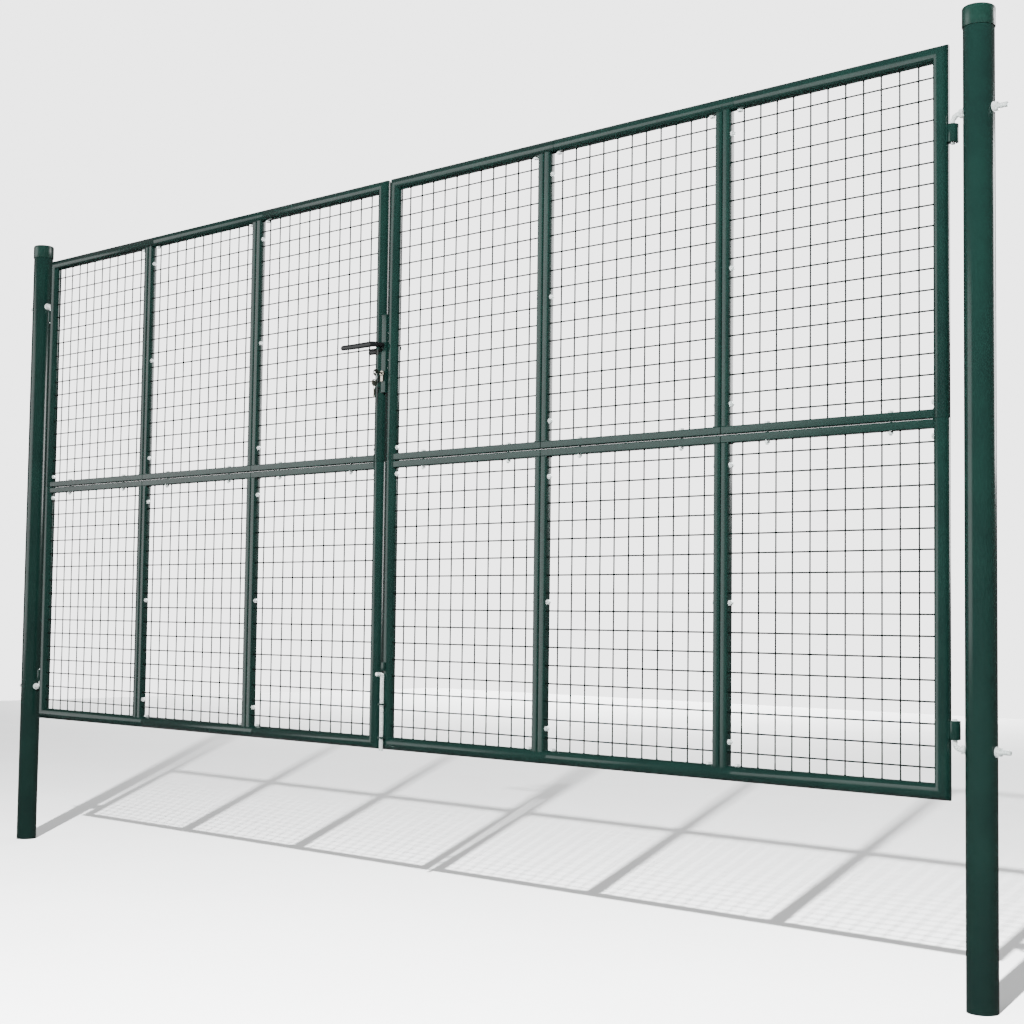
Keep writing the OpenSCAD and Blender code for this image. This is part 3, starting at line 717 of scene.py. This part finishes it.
@dataclass
class Panel:
    """One framed mesh panel: round outer tubes, rectangular inner tubes and welded mesh."""

    leaf: Leaf
    column: int
    row: Row
    plan: Plan
    paints: Paints
    wire_r: float = 2.0
    wire_y: float = 1.8
    sway: float = 0.7
    wire_bite: float = 0.5
    bead_r: float = 1.9
    weld_u: float = 10.6
    weld_v: float = 13.1
    weld_corner: float = 2.5
    notch_depth: float = 10.95

    @property
    def word(self) -> str:
        """The panel's name as in the CAD nodes."""
        place = panel_word(self.leaf, self.column)
        return f"{leaf_word(self.leaf)}_{self.row.name.lower()}_{place}"

    @property
    def body(self) -> str:
        """The CAD body of the panel's leaf."""
        return f"{leaf_word(self.leaf)}_leaf"

    def build(self) -> None:
        """Builds the frame and the mesh."""
        lines = self.plan.lines[self.leaf]
        self.left, self.right = lines[self.column], lines[self.column + 1]
        self.first, self.last = self.column == 0, self.column == len(lines) - 2
        self.up = 1 if self.row is Row.UPPER else -1
        self.outer_z = self.plan.rails[2 if self.row is Row.UPPER else 0]
        self.mid_z = self.plan.rails[1]
        self._frame()
        self._mesh()

    def _frame(self) -> None:
        """Builds the panel's tubes and welds as one piece."""
        plan, shape = self.plan, Shape(f"{self.word}_frame")
        path = [Vector((self.left + plan.seam, 0, self.outer_z)),
                Vector((self.right + plan.seam, 0, self.outer_z))]
        if self.first:
            path[0:1] = [Vector((self.left, 0, self.mid_z)), Vector((self.left, 0, self.outer_z))]
        if self.last:
            path[-1:] = [Vector((self.right, 0, self.outer_z)), Vector((self.right, 0, self.mid_z))]
        shape.pipe(path, plan.frame_r, plan.frame_wall, sides=48, rim=0.7)
        if self.word == "right_upper_lock":
            for low, high in self._keep_heights():
                shape_notch(shape, low, high, self.left - self.notch_depth, self.left)
        near = self.mid_z + self.up * plan.groove / 2
        far = near + self.up * plan.inner_w
        inside = plan.frame_r - 2.0
        xa = self.left + (inside if self.first else plan.groove / 2)
        xb = self.right - (inside if self.last else plan.groove / 2)
        self._bar(shape, (xa, xb), (near, far), X)
        weld = rounded_loop(self.weld_u, self.weld_v, self.weld_corner)
        stile_end = self.outer_z - self.up * 13.0
        for x, inward in self._inner_stiles():
            self._bar(shape, (x, x + inward * plan.inner_w), (far, stile_end), Z)
            if inward < 0:
                middle = x + inward * plan.inner_w / 2
                shape.bead([Vector((middle + u, v, self.outer_z - self.up
                                    * (math.sqrt(plan.frame_r ** 2 - v * v) + 0.2)))
                            for u, v in weld], self.bead_r, closed=True)
            shape.bead([Vector((x + inward * (plan.inner_w + 0.6), -12.2 + k * 24.4 / 10,
                                far + self.up * 0.6)) for k in range(11)], self.bead_r)
        middle = (near + far) / 2
        ends = ([(self.left, 1)] if self.first else []) + ([(self.right, -1)] if self.last else [])
        for x, inward in ends:
            shape.bead([Vector((x + inward * (math.sqrt(plan.frame_r ** 2 - v * v) + 0.2), v,
                                middle + u)) for u, v in weld], self.bead_r, closed=True)
        shape.finish(Slot.COAT, self.body, [f"{self.word}_panel"], self.paints)

    def _keep_heights(self) -> list[tuple[float, float]]:
        """Gives the lowest and highest point of each keep's notch."""
        low, high = corner("keep_channels")
        slack, height = self.plan.keep_slack, self.plan.keep_height
        return [(low.z - slack, low.z + height + slack),
                (high.z - height - slack, high.z + slack)]

    def _inner_stiles(self) -> list[tuple[float, int]]:
        """Gives the groove side of each inner stile and its way into the panel."""
        half = self.plan.groove / 2
        found = [] if self.first else [(self.left + half, 1)]
        return found + ([] if self.last else [(self.right - half, -1)])

    def _bar(self, shape: Shape, xs: tuple[float, float], zs: tuple[float, float],
             along: Vector) -> None:
        """Adds one rectangular tube with its long edges rounded."""
        half = self.plan.inner_half
        shape.box((min(xs), -half, min(zs)), (max(xs), half, max(zs)), 2.2, along, 3)

    def _mesh(self) -> None:
        """Builds the level and upright wires, their welds and their ends on the frame."""
        plan, shape = self.plan, Shape(f"{self.word}_welded_mesh")
        rng = random.Random(f"{self.word}")
        edge_x = (plan.frame_r if self.first else plan.pair_half,
                  plan.frame_r if self.last else plan.pair_half)
        low_z = min(self.mid_z, self.outer_z)
        high_z = max(self.mid_z, self.outer_z)
        at_mid, at_outer = plan.pair_half, plan.frame_r
        edge_z = (at_outer, at_mid) if self.row is Row.LOWER else (at_mid, at_outer)
        columns = round((self.right - self.left - 2 * plan.first_wire_x) / plan.pitch) + 1
        rows = round((high_z - low_z - 2 * plan.first_wire_z) / plan.pitch) + 1
        xs = [self.left + plan.first_wire_x + i * plan.pitch + rng.uniform(-self.sway, self.sway)
              for i in range(columns)]
        zs = [low_z + plan.first_wire_z + j * plan.pitch + rng.uniform(-self.sway, self.sway)
              for j in range(rows)]
        for x in xs:
            self._wire(shape, Vector((x, self.wire_y, low_z + edge_z[0] - self.wire_bite)),
                       Vector((x, self.wire_y, high_z - edge_z[1] + self.wire_bite)))
        for z in zs:
            self._wire(shape, Vector((self.left + edge_x[0] - self.wire_bite, -self.wire_y, z)),
                       Vector((self.right - edge_x[1] + self.wire_bite, -self.wire_y, z)))
        for x in xs:
            for z in zs:
                bmesh.ops.create_icosphere(
                    shape.bm, subdivisions=1, radius=1.0,
                    matrix=Matrix.Translation((x, 0, z)) @ Matrix.Diagonal((2.9, 1.9, 2.9, 1.0)))
        shape.finish(Slot.WIRE, self.body, [f"{self.word}_mesh"], self.paints, sharp_deg=65)

    def _wire(self, shape: Shape, start: Vector, end: Vector) -> None:
        """Adds one wire with a small weld fillet at each end.

        Args:
            shape: The mesh piece.
            start: The wire's first end.
            end: The wire's last end.
        """
        run = (end - start).normalized()
        turn = run.to_track_quat("Z", "Y").to_matrix().to_4x4()
        length = (end - start).length
        bmesh.ops.create_cone(shape.bm, cap_ends=True, segments=8, radius1=self.wire_r,
                              radius2=self.wire_r, depth=length,
                              matrix=Matrix.Translation((start + end) / 2) @ turn)
        for place, way in ((start, 1), (end, -1)):
            first, last = (3.4, 2.0) if way > 0 else (2.0, 3.4)
            bmesh.ops.create_cone(shape.bm, cap_ends=True, segments=8, radius1=first,
                                  radius2=last, depth=2.6,
                                  matrix=Matrix.Translation(place + run * way * 1.3) @ turn)


def shape_notch(shape: Shape, low: float, high: float, limit: float, stile_x: float) -> None:
    """Cuts a notch into the left side of an upright tube and closes its wall.

    Args:
        shape: The piece with the tube.
        low: Height of the notch's bottom.
        high: Height of its top.
        limit: The notch takes everything left of this X.
        stile_x: X of the tube's axis.
    """
    bm = shape.bm

    def near() -> list[bmesh.types.BMFace]:
        """Gives the tube's faces at the height of the notch."""
        return [f for f in bm.faces if abs(f.calc_center_median().x - stile_x) < 19.5
                and min(v.co.z for v in f.verts) < high + 0.01
                and max(v.co.z for v in f.verts) > low - 0.01
                and max(v.co.x for v in f.verts) < stile_x + 19.5]

    for point, normal in ((Vector((0, 0, low)), Z), (Vector((0, 0, high)), Z),
                          (Vector((limit, 0, 0)), X)):
        faces = near()
        geom = list(dict.fromkeys(g for f in faces for g in (f, *f.edges, *f.verts)))
        bmesh.ops.bisect_plane(bm, geom=geom, dist=0.0001, plane_co=point, plane_no=normal)
    gone = [f for f in near() if low < f.calc_center_median().z < high
            and f.calc_center_median().x < limit]
    bmesh.ops.delete(bm, geom=gone, context="FACES")
    rim = [e for e in bm.edges if e.is_boundary
           and all(abs(v.co.x - stile_x) < 19.5 and low - 1 < v.co.z < high + 1 for v in e.verts)]
    bmesh.ops.bridge_loops(bm, edges=rim)


@dataclass
class Fasteners:
    """The bolts and nuts of one leaf, and the sleeves inside its tubes."""

    leaf: Leaf
    plan: Plan
    paints: Paints
    flats: float = 13.0
    head: float = 5.3
    nut: float = 6.5
    proud: float = 4.0
    shank_r: float = 4.0
    pitch: float = 1.25
    stile_places: tuple[float, float, float] = (78.0, 428.0, 778.0)
    rail_offset: float = 175.0
    sleeve_places: tuple[float, float] = (-40.0, 48.0)
    stile_sleeve: float = 40.0

    def build(self) -> None:
        """Builds the bolts, the nuts and the sleeve bolts and dresses the sleeves."""
        word, body = leaf_word(self.leaf), f"{leaf_word(self.leaf)}_leaf"
        bolts, nuts = Shape(f"{word}_panel_bolts"), Shape(f"{word}_panel_nuts")
        plan = self.plan
        span = 2 * plan.pair_half
        for place, way in self._bolt_places():
            bolts.hexagon(place, -way, self.flats, self.head)
            bolts.pipe([place, place + way * (span + 1)], self.shank_r, sides=12)
            bolts.thread(place + way * (span + self.nut + self.proud), -way, self.proud + 3,
                         self.shank_r, self.pitch, 14)
            nuts.hexagon(place + way * span, way, self.flats, self.nut, (True, True))
        bolts.finish(Slot.ZINC, body, [f"{word}_frame_bolts"], self.paints)
        nuts.finish(Slot.ZINC, body, [f"{word}_frame_nuts"], self.paints)
        screws = Shape(f"{word}_sleeve_screws")
        for place, way in self._sleeve_places():
            screws.hexagon(place, way, self.flats, self.head)
            screws.pipe([place, place - way * 6], self.shank_r, sides=12)
        screws.finish(Slot.ZINC, body, [f"{word}_sleeve_bolts"], self.paints)
        dress(f"{word}_tube_sleeves", Slot.ZINC, self.paints)

    def _bolt_places(self) -> list[tuple[Vector, Vector]]:
        """Gives the seat of each bolt's head and the way its shank goes."""
        plan = self.plan
        lines, rails = plan.lines[self.leaf], plan.rails
        found = [(Vector((x - plan.pair_half, 0, rail + rise)), X)
                 for x in lines[1:3] for rail in rails[:2] for rise in self.stile_places]
        found += [(Vector(((a + b) / 2 + side * self.rail_offset, 0, rails[1] + plan.pair_half)),
                   -Z) for a, b in zip(lines, lines[1:]) for side in (-1, 1)]
        return found

    def _sleeve_places(self) -> list[tuple[Vector, Vector]]:
        """Gives the seat of each sleeve bolt's head and the way that the head stands out."""
        plan = self.plan
        lines, rails = plan.lines[self.leaf], plan.rails
        found = []
        for line in lines[1:3]:
            for offset in self.sleeve_places:
                found.append((Vector((line + offset, 0, rails[2] - plan.frame_r)), -Z))
                found.append((Vector((line + offset, 0, rails[0] + plan.frame_r)), Z))
        for way in (-1, 1):
            z = rails[1] + way * self.stile_sleeve
            found.append((Vector((lines[0] + plan.frame_r, 0, z)), X))
            found.append((Vector((lines[3] - plan.frame_r, 0, z)), -X))
        return found


def dress(node: str, slot: Slot, paints: Paints) -> None:
    """Gives a CAD node that stays in view the material of its slot."""
    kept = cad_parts[node]
    kept.data.materials.clear()
    kept.data.materials.append(paints.by_slot[slot])
    log.info("%s: CAD node, %s", node, slot.value)


# ---- Lock ----


@dataclass
class Lock:
    """Lever lock on the left leaf's closing stile, with its keys and the keeps across the gap."""

    plan: Plan
    paints: Paints
    axis_x: float = -4.0
    neck_r: float = 8.0
    rose_r: float = 11.0
    plug_r: float = 6.5
    cylinder_r: float = 8.5
    tail_half: float = 5.0
    key_thick: float = 2.2
    bow_r: float = 11.0
    hole_r: float = 3.0
    hole_offset: float = 6.0
    ring_r: float = 11.0

    def build(self) -> None:
        """Builds every piece of the lock."""
        low, high = corner("front_lever")
        self.lever_z = (low.z + high.z) / 2
        self.lever_y, self.tip_x = low.y, low.x
        plug = corner("cylinder_plug")
        self.key_z = (plug[0].z + plug[1].z) / 2
        self._case()
        self._cylinder()
        self._roses()
        self._lever("front_lever", -1)
        self._lever("rear_lever", 1)
        dress("lever_spindle", Slot.ZINC, self.paints)
        self._bolts()
        self._keys()
        self._keeps()

    def _case(self) -> None:
        """Builds the case let into the stile, with a weld on its edges."""
        low, high = corner("lock_case")
        shape = Shape("lock_box")
        shape.box(low, high, 1.6, segments=3)
        seam_x = self.plan.lines[Leaf.LEFT][3] + math.sqrt(self.plan.frame_r ** 2 - 15 ** 2)
        for side in (-1, 1):
            count = 60
            shape.bead([Vector((seam_x + 0.3, side * 15.2,
                                low.z + 3 + k * (high.z - low.z - 6) / count))
                        for k in range(count + 1)], 1.5)
        shape.finish(Slot.COAT, "left_leaf", ["lock_case"], self.paints)

    def _cylinder(self) -> None:
        """Builds the profile cylinder and its plug."""
        low, high = corner("lock_cylinder")
        shape = Shape("profile_cylinder")
        length, r, edge = high.y - low.y, self.cylinder_r, 0.5
        shape.lathe([(0, 0), (r - edge, 0), (r, edge), (r, length - edge), (r - edge, length),
                     (0, length)], Vector((self.axis_x, low.y, self.key_z)), Y, 40)
        shape.box((self.axis_x - self.tail_half, low.y, low.z),
                  (self.axis_x + self.tail_half, high.y, self.key_z), 2.0, Y, 3)
        shape.finish(Slot.NICKEL, "left_leaf", ["lock_cylinder"], self.paints)
        low, high = corner("cylinder_plug")
        plug, r = Shape("keyed_plug"), self.plug_r
        length = high.y - low.y
        plug.lathe([(0, 0), (r - 0.6, 0), (r, 0.6), (r, length), (0, length)],
                   Vector((self.axis_x, low.y, self.key_z)), Y, 36)
        plug.finish(Slot.NICKEL, "key_set", ["cylinder_plug"], self.paints)

    def _roses(self) -> None:
        """Builds the round roses under both levers."""
        shape = Shape("lever_roses")
        bore, r = self.neck_r + 0.06, self.rose_r
        for way in (-1, 1):
            shape.lathe([(bore, 0), (r, 0), (r, 2.2), (r - 0.5, 3.3), (r - 1.6, 4), (bore, 4),
                         (bore, 0)], Vector((self.axis_x, way * 15, self.lever_z)), Y * way, 40)
        shape.finish(Slot.COAT, "left_leaf", ["escutcheons"], self.paints)

    def _lever(self, node: str, way: int) -> None:
        """Builds a lever: a round neck that bends into an oval grip.

        Args:
            node: The CAD node that it stands for.
            way: -1 for the front lever and +1 for the rear one.
        """
        bend, grip_y = 13.0, abs(self.lever_y) - 5.0
        stations: list[tuple[Vector, Vector, float, float]] = []
        for depth in (15.1, 20.0, 30.0, grip_y - bend):
            stations.append((Vector((self.axis_x, way * depth, self.lever_z)), Y * way, 7.9, 7.9))
        for k in range(1, 9):
            turn = math.pi / 2 * k / 8
            at = Vector((self.axis_x - bend * (1 - math.cos(turn)),
                         way * (grip_y - bend + bend * math.sin(turn)), self.lever_z))
            run = Vector((-math.sin(turn), way * math.cos(turn), 0))
            share = k / 8
            stations.append((at, run, 7.9 - 2.9 * share, 7.9 + 1.0 * share))
        start = self.axis_x - bend
        end = self.tip_x + 9.0
        for k in range(1, 11):
            share = k / 10
            stations.append((Vector((start + (end - start) * share, way * grip_y,
                                     self.lever_z - 0.6 * math.sin(math.pi * share))),
                             -X, 5.0 - 0.4 * share, 8.9 - 0.9 * share))
        for k in range(1, 6):
            turn = math.pi / 2 * k / 5.4
            stations.append((Vector((end - 8.6 * math.sin(turn), way * grip_y, self.lever_z)),
                             -X, 4.6 * math.cos(turn) ** 0.7, 8.0 * math.cos(turn)))
        shape = Shape(node + "_handle")
        before = Matrix.Identity(4)
        edges: list[bmesh.types.BMEdge] = []
        for i, (at, run, half_u, half_v) in enumerate(stations):
            side = run.cross(Z)
            basis = Matrix((side, Z, run)).transposed().to_4x4()
            place = Matrix.Translation(at) @ basis @ Matrix.Diagonal((half_u, half_v, 1.0, 1.0))
            if i == 0:
                ring = bmesh.ops.create_circle(shape.bm, cap_ends=False, radius=1.0, segments=32,
                                               matrix=place)["verts"]
                edges = list(dict.fromkeys(e for v in ring for e in v.link_edges))
                bmesh.ops.contextual_create(shape.bm, geom=edges)
            else:
                grown = bmesh.ops.extrude_edge_only(shape.bm, edges=edges)["geom"]
                moved = dict.fromkeys(g for g in grown if isinstance(g, bmesh.types.BMVert))
                edges = [g for g in grown if isinstance(g, bmesh.types.BMEdge)
                         and g.verts[0] in moved and g.verts[1] in moved]
                bmesh.ops.transform(shape.bm, matrix=place @ before.inverted(), verts=list(moved))
            before = place
        bmesh.ops.contextual_create(shape.bm, geom=edges)
        shape.finish(Slot.LEVER, "lever_set", [node], self.paints)

    def _bolts(self) -> None:
        """Builds the latch bolt with its slanted nose, and the dead bolt."""
        low, high = corner("latch_bolt")
        latch = Shape("slanted_latch")
        latch.box(low, high, 0.7)
        slant = Vector((1.0, -1.1, 0)).normalized()
        cut = bmesh.ops.bisect_plane(
            latch.bm, geom=[*latch.bm.verts, *latch.bm.edges, *latch.bm.faces], dist=0.0001,
            plane_co=Vector((high.x, (low.y + high.y) / 2 - 1.0, 0)), plane_no=slant,
            clear_outer=True)["geom_cut"]
        bmesh.ops.contextual_create(
            latch.bm, geom=[g for g in cut if isinstance(g, bmesh.types.BMEdge)])
        latch.finish(Slot.NICKEL, "latch", ["latch_bolt"], self.paints)
        low, high = corner("dead_bolt")
        dead = Shape("square_dead_bolt")
        dead.box(low, high, 0.7)
        dead.finish(Slot.NICKEL, "dead_lock", ["dead_bolt"], self.paints)

    def _key(self, shape: Shape, blade: float) -> None:
        """Adds a flat key, its bow at the origin in the XZ plane and its blade along +X.

        Args:
            shape: The piece that gets the key.
            blade: Length of the blade from the edge of the bow.
        """
        bm, half = shape.bm, self.key_thick / 2
        rings = [bmesh.ops.create_circle(bm, cap_ends=False, radius=r, segments=sides,
                                         matrix=Matrix.Translation((x, -half, 0))
                                         @ Matrix.Rotation(math.pi / 2, 4, "X"))["verts"]
                 for r, x, sides in ((self.bow_r, 0.0, 40), (self.hole_r, -self.hole_offset, 20))]
        edges = list(dict.fromkeys(e for ring in rings for v in ring for e in v.link_edges))
        faces = [g for g in bmesh.ops.triangle_fill(bm, use_beauty=True, edges=edges)["geom"]
                 if isinstance(g, bmesh.types.BMFace)]
        self._thicken(bm, faces)
        start, end = self.bow_r - 1.0, self.bow_r + blade
        outline = [(start, -4.0), (start, 4.0), (start + 6, 4.0), (end - 3, 3.2), (end, 0.6),
                   (end - 2.0, -1.5)]
        depths = (-3.4, -1.2, -2.9, -0.8, -3.0, -1.6, -3.6)
        count = len(depths)
        for i, depth in enumerate(depths):
            outline.append((end - 4.0 - i * (end - start - 10.0) / count, depth))
        verts = [bmesh.ops.create_vert(bm, co=(x, -half, z))["vert"][0] for x, z in outline]
        self._thicken(bm, bmesh.ops.contextual_create(bm, geom=verts)["faces"])

    def _thicken(self, bm: bmesh.types.BMesh, faces: list[bmesh.types.BMFace]) -> None:
        """Extrudes flat faces into a plate of the key's thickness."""
        grown = bmesh.ops.extrude_face_region(bm, geom=faces, use_keep_orig=True)["geom"]
        bmesh.ops.translate(bm, vec=(0, self.key_thick, 0),
                            verts=[g for g in grown if isinstance(g, bmesh.types.BMVert)])

    def _keys(self) -> None:
        """Builds the key in the lock, the split ring and the spare key that hangs on it."""
        low = corner("door_key")[0]
        bow_y = low.y + self.bow_r
        key = Shape("key_in_the_lock")
        self._key(key, 30.0)
        bmesh.ops.transform(key.bm, verts=key.bm.verts,
                            matrix=Matrix.Translation((self.axis_x, bow_y, self.key_z))
                            @ Matrix.Rotation(math.pi / 2, 4, "Z"))
        key.finish(Slot.NICKEL, "key_set", ["door_key"], self.paints)
        low, high = corner("key_ring")
        centre = (low + high) / 2
        ring, turns = Shape("split_ring"), 2
        steps = 40 * turns
        ring.pipe([centre + Vector((self.ring_r * math.cos(a), (k / steps - 0.5) * 0.9,
                                    self.ring_r * math.sin(a)))
                   for k, a in ((k, math.tau * turns * k / steps) for k in range(steps + 1))],
                  0.45, sides=10)
        ring.finish(Slot.ZINC, "key_bunch", ["key_ring"], self.paints)
        low, high = corner("spare_key")
        spare = Shape("hanging_key")
        self._key(spare, high.z - low.z - 2 * self.bow_r)
        bmesh.ops.transform(spare.bm, verts=spare.bm.verts,
                            matrix=Matrix.Translation((self.axis_x, (low.y + high.y) / 2,
                                                       high.z - self.bow_r))
                            @ Matrix.Rotation(math.pi / 2, 4, "Z")
                            @ Matrix.Rotation(math.pi / 2, 4, "Y"))
        spare.finish(Slot.NICKEL, "key_bunch", ["spare_key"], self.paints)

    def _keeps(self) -> None:
        """Builds the channels that take the bolts, let into the right closing stile."""
        low, high = corner("keep_channels")
        shape, wall, height = Shape("keep_plates"), 1.5, self.plan.keep_height
        for bottom in (low.z, high.z - height):
            shape.box((high.x - wall, low.y, bottom), (high.x, high.y, bottom + height), 0.3)
            for z in (bottom, bottom + height - wall):
                shape.box((low.x, low.y, z), (high.x - 0.2, high.y, z + wall), 0.3)
        shape.finish(Slot.ZINC, "right_leaf", ["keep_channels"], self.paints)


# ---- Drop bolt ----


@dataclass
class DropBolt:
    """Bent drop bolt in two guides on the right closing stile, under a stop block."""

    plan: Plan
    paints: Paints
    rod_r: float = 6.0
    bend: float = 8.0
    guide_thick: float = 5.0
    guide_step: float = 100.0
    stop_height: float = 26.0

    def build(self) -> None:
        """Builds the bolt, its guides and the stop."""
        low, high = corner("drop_bolt")
        x, y = (low.x + high.x) / 2, high.y - self.rod_r
        arm_z = high.z - self.rod_r
        path = [Vector((x, y, low.z)), Vector((x, y, arm_z - self.bend))]
        for k in range(1, 9):
            turn = math.pi / 2 * k / 8
            path.append(Vector((x, y - self.bend * (1 - math.cos(turn)),
                                arm_z - self.bend * (1 - math.sin(turn)))))
        path.append(Vector((x, low.y, arm_z)))
        rod = Shape("bent_drop_bolt")
        rod.pipe(path, self.rod_r, sides=32, rim=1.4)
        rod.finish(Slot.ZINC, "drop_rod", ["drop_bolt"], self.paints)
        low, high = corner("drop_bolt_guides")
        guides, r = Shape("drop_bolt_brackets"), self.plan.frame_r
        for base in (low.z, low.z + self.guide_step):
            guides.box((low.x, low.y, base), (high.x, -r + 3.0, base + self.guide_thick), 5.0, Z, 4)
            for z in (base - 0.4, base + self.guide_thick + 0.4):
                guides.bead([Vector((x + u, -math.sqrt(r * r - u * u) - 0.3, z))
                             for u in (-10 + 20 * k / 12 for k in range(13))], 1.5)
        guides.box((x - self.rod_r, y, high.z - self.stop_height),
                   (x + self.rod_r, -r + 2.0, high.z),
                   1.5, segments=3)
        guides.finish(Slot.COAT, "right_leaf", ["drop_bolt_guides"], self.paints)


# ---- Studio ----


@dataclass
class Studio:
    """Pale floor, soft lights and the camera, in metres and degrees."""

    paints: Paints
    camera_place: tuple[float, float, float] = (3.842, -3.532, 0.863)
    yaw: float = 43.15
    pitch: float = 3.54
    roll: float = 0.74
    lens_mm: float = 59.93
    sensor_mm: float = 36.0

    def build(self) -> None:
        """Sets up the floor, the lights, the surroundings and the camera."""
        self._floor()
        self._lamp("key_light", (3.5, -5.4, 4.8), (0.0, 0.0, 1.0), (0.13, 0.13), 5200.0,
                   lights=True, shines=False)
        self._lamp("left_softbox", (-5.6, -5.6, 2.2), (1.2, 0.0, 1.2), (6.0, 5.0), 270.0,
                   lights=False, shines=True)
        self._lamp("rear_ceiling", (-8.0, 13.0, 5.0), (-8.0, 13.0, 0.0), (10.0, 10.0), 4200.0,
                   lights=True, shines=False)
        self._lamp("front_ceiling", (-3.0, -13.0, 5.0), (-3.0, -13.0, 0.0), (10.0, 10.0), 1800.0,
                   lights=True, shines=False)
        self._lamp("rear_softbox", (4.5, 7.0, 3.4), (0.0, 0.0, 1.2), (3.0, 3.0), 420.0,
                   lights=True, shines=True)
        self._world(0.2, 3.6)
        self._camera()

    def _floor(self) -> None:
        """Builds the floor and hides it from reflections."""
        bm = bmesh.new()
        bmesh.ops.create_grid(bm, x_segments=1, y_segments=1, size=11.0)
        mesh = bpy.data.meshes.new("studio_floor")
        bm.to_mesh(mesh)
        bm.free()
        floor = bpy.data.objects.new("studio_floor", mesh)
        mesh.materials.append(self.paints.floor)
        bpy.context.scene.collection.objects.link(floor)
        floor.visible_glossy = False

    def _lamp(self, name: str, place: tuple[float, float, float],
              target: tuple[float, float, float], size: tuple[float, float],
              power: float, lights: bool, shines: bool) -> None:
        """Adds a rectangular lamp.

        Args:
            name: Its name.
            place: Its middle.
            target: The point that it faces.
            size: Its width and height.
            power: Its power in watts.
            lights: Whether it lights matt surfaces.
            shines: Whether it shows as a highlight on glossy ones.
        """
        data = bpy.data.lights.new(name, "AREA")
        data.shape, data.size, data.size_y, data.energy = "RECTANGLE", size[0], size[1], power
        lamp = bpy.data.objects.new(name, data)
        lamp.location = place
        run = Vector(target) - Vector(place)
        lamp.rotation_euler = run.to_track_quat("-Z", "Y").to_euler()
        lamp.visible_camera, lamp.visible_diffuse, lamp.visible_glossy = False, lights, shines
        bpy.context.scene.collection.objects.link(lamp)

    def _world(self, fill: float, backdrop: float) -> None:
        """Surrounds the stage with even white light.

        Args:
            fill: Strength of the light that it throws on the gate.
            backdrop: Strength of the white behind the gate.
        """
        world = bpy.data.worlds.new("studio_surround")
        world.use_nodes = True
        tree = world.node_tree
        tree.nodes.clear()
        rays = add_node(tree, "ShaderNodeLightPath")
        shades = [add_node(tree, "ShaderNodeBackground",
                           values={"Color": linear("#ffffff"), "Strength": strength})
                  for strength in (fill, backdrop)]
        both = add_node(tree, "ShaderNodeMixShader",
                        links={0: rays.outputs["Is Camera Ray"],
                               1: shades[0].outputs["Background"],
                               2: shades[1].outputs["Background"]})
        add_node(tree, "ShaderNodeOutputWorld", links={"Surface": both.outputs["Shader"]})
        bpy.context.scene.world = world

    def _camera(self) -> None:
        """Adds the camera from its place, its angles and its lens."""
        yaw, pitch, roll = (math.radians(a) for a in (self.yaw, self.pitch, self.roll))
        ahead = Vector((-math.sin(yaw) * math.cos(pitch), math.cos(yaw) * math.cos(pitch),
                        math.sin(pitch)))
        level = Vector((math.cos(yaw), math.sin(yaw), 0))
        above = level.cross(ahead)
        right = math.cos(roll) * level + math.sin(roll) * above
        up = math.cos(roll) * above - math.sin(roll) * level
        data = bpy.data.cameras.new("camera")
        data.lens, data.sensor_width, data.clip_end = self.lens_mm, self.sensor_mm, 200.0
        camera = bpy.data.objects.new("camera", data)
        turn = Matrix((right, up, -ahead)).transposed().to_4x4()
        camera.matrix_world = Matrix.Translation(self.camera_place) @ turn
        bpy.context.scene.collection.objects.link(camera)
        bpy.context.scene.camera = camera


def main() -> None:
    """Builds the gate's sub-assemblies in order, then the studio around them."""
    logging.basicConfig(level=logging.INFO, format="%(name)s: %(message)s")
    paints, plan = Paints(), Plan.from_frame()
    for leaf in Leaf:
        Post(leaf, plan, paints).build()
        HingeSide(leaf, plan, paints).build()
        for row in Row:
            for column in range(3):
                Panel(leaf, column, row, plan, paints).build()
        Fasteners(leaf, plan, paints).build()
    Lock(plan, paints).build()
    DropBolt(plan, paints).build()
    Studio(paints).build()


if __name__ == "__main__":
    main()
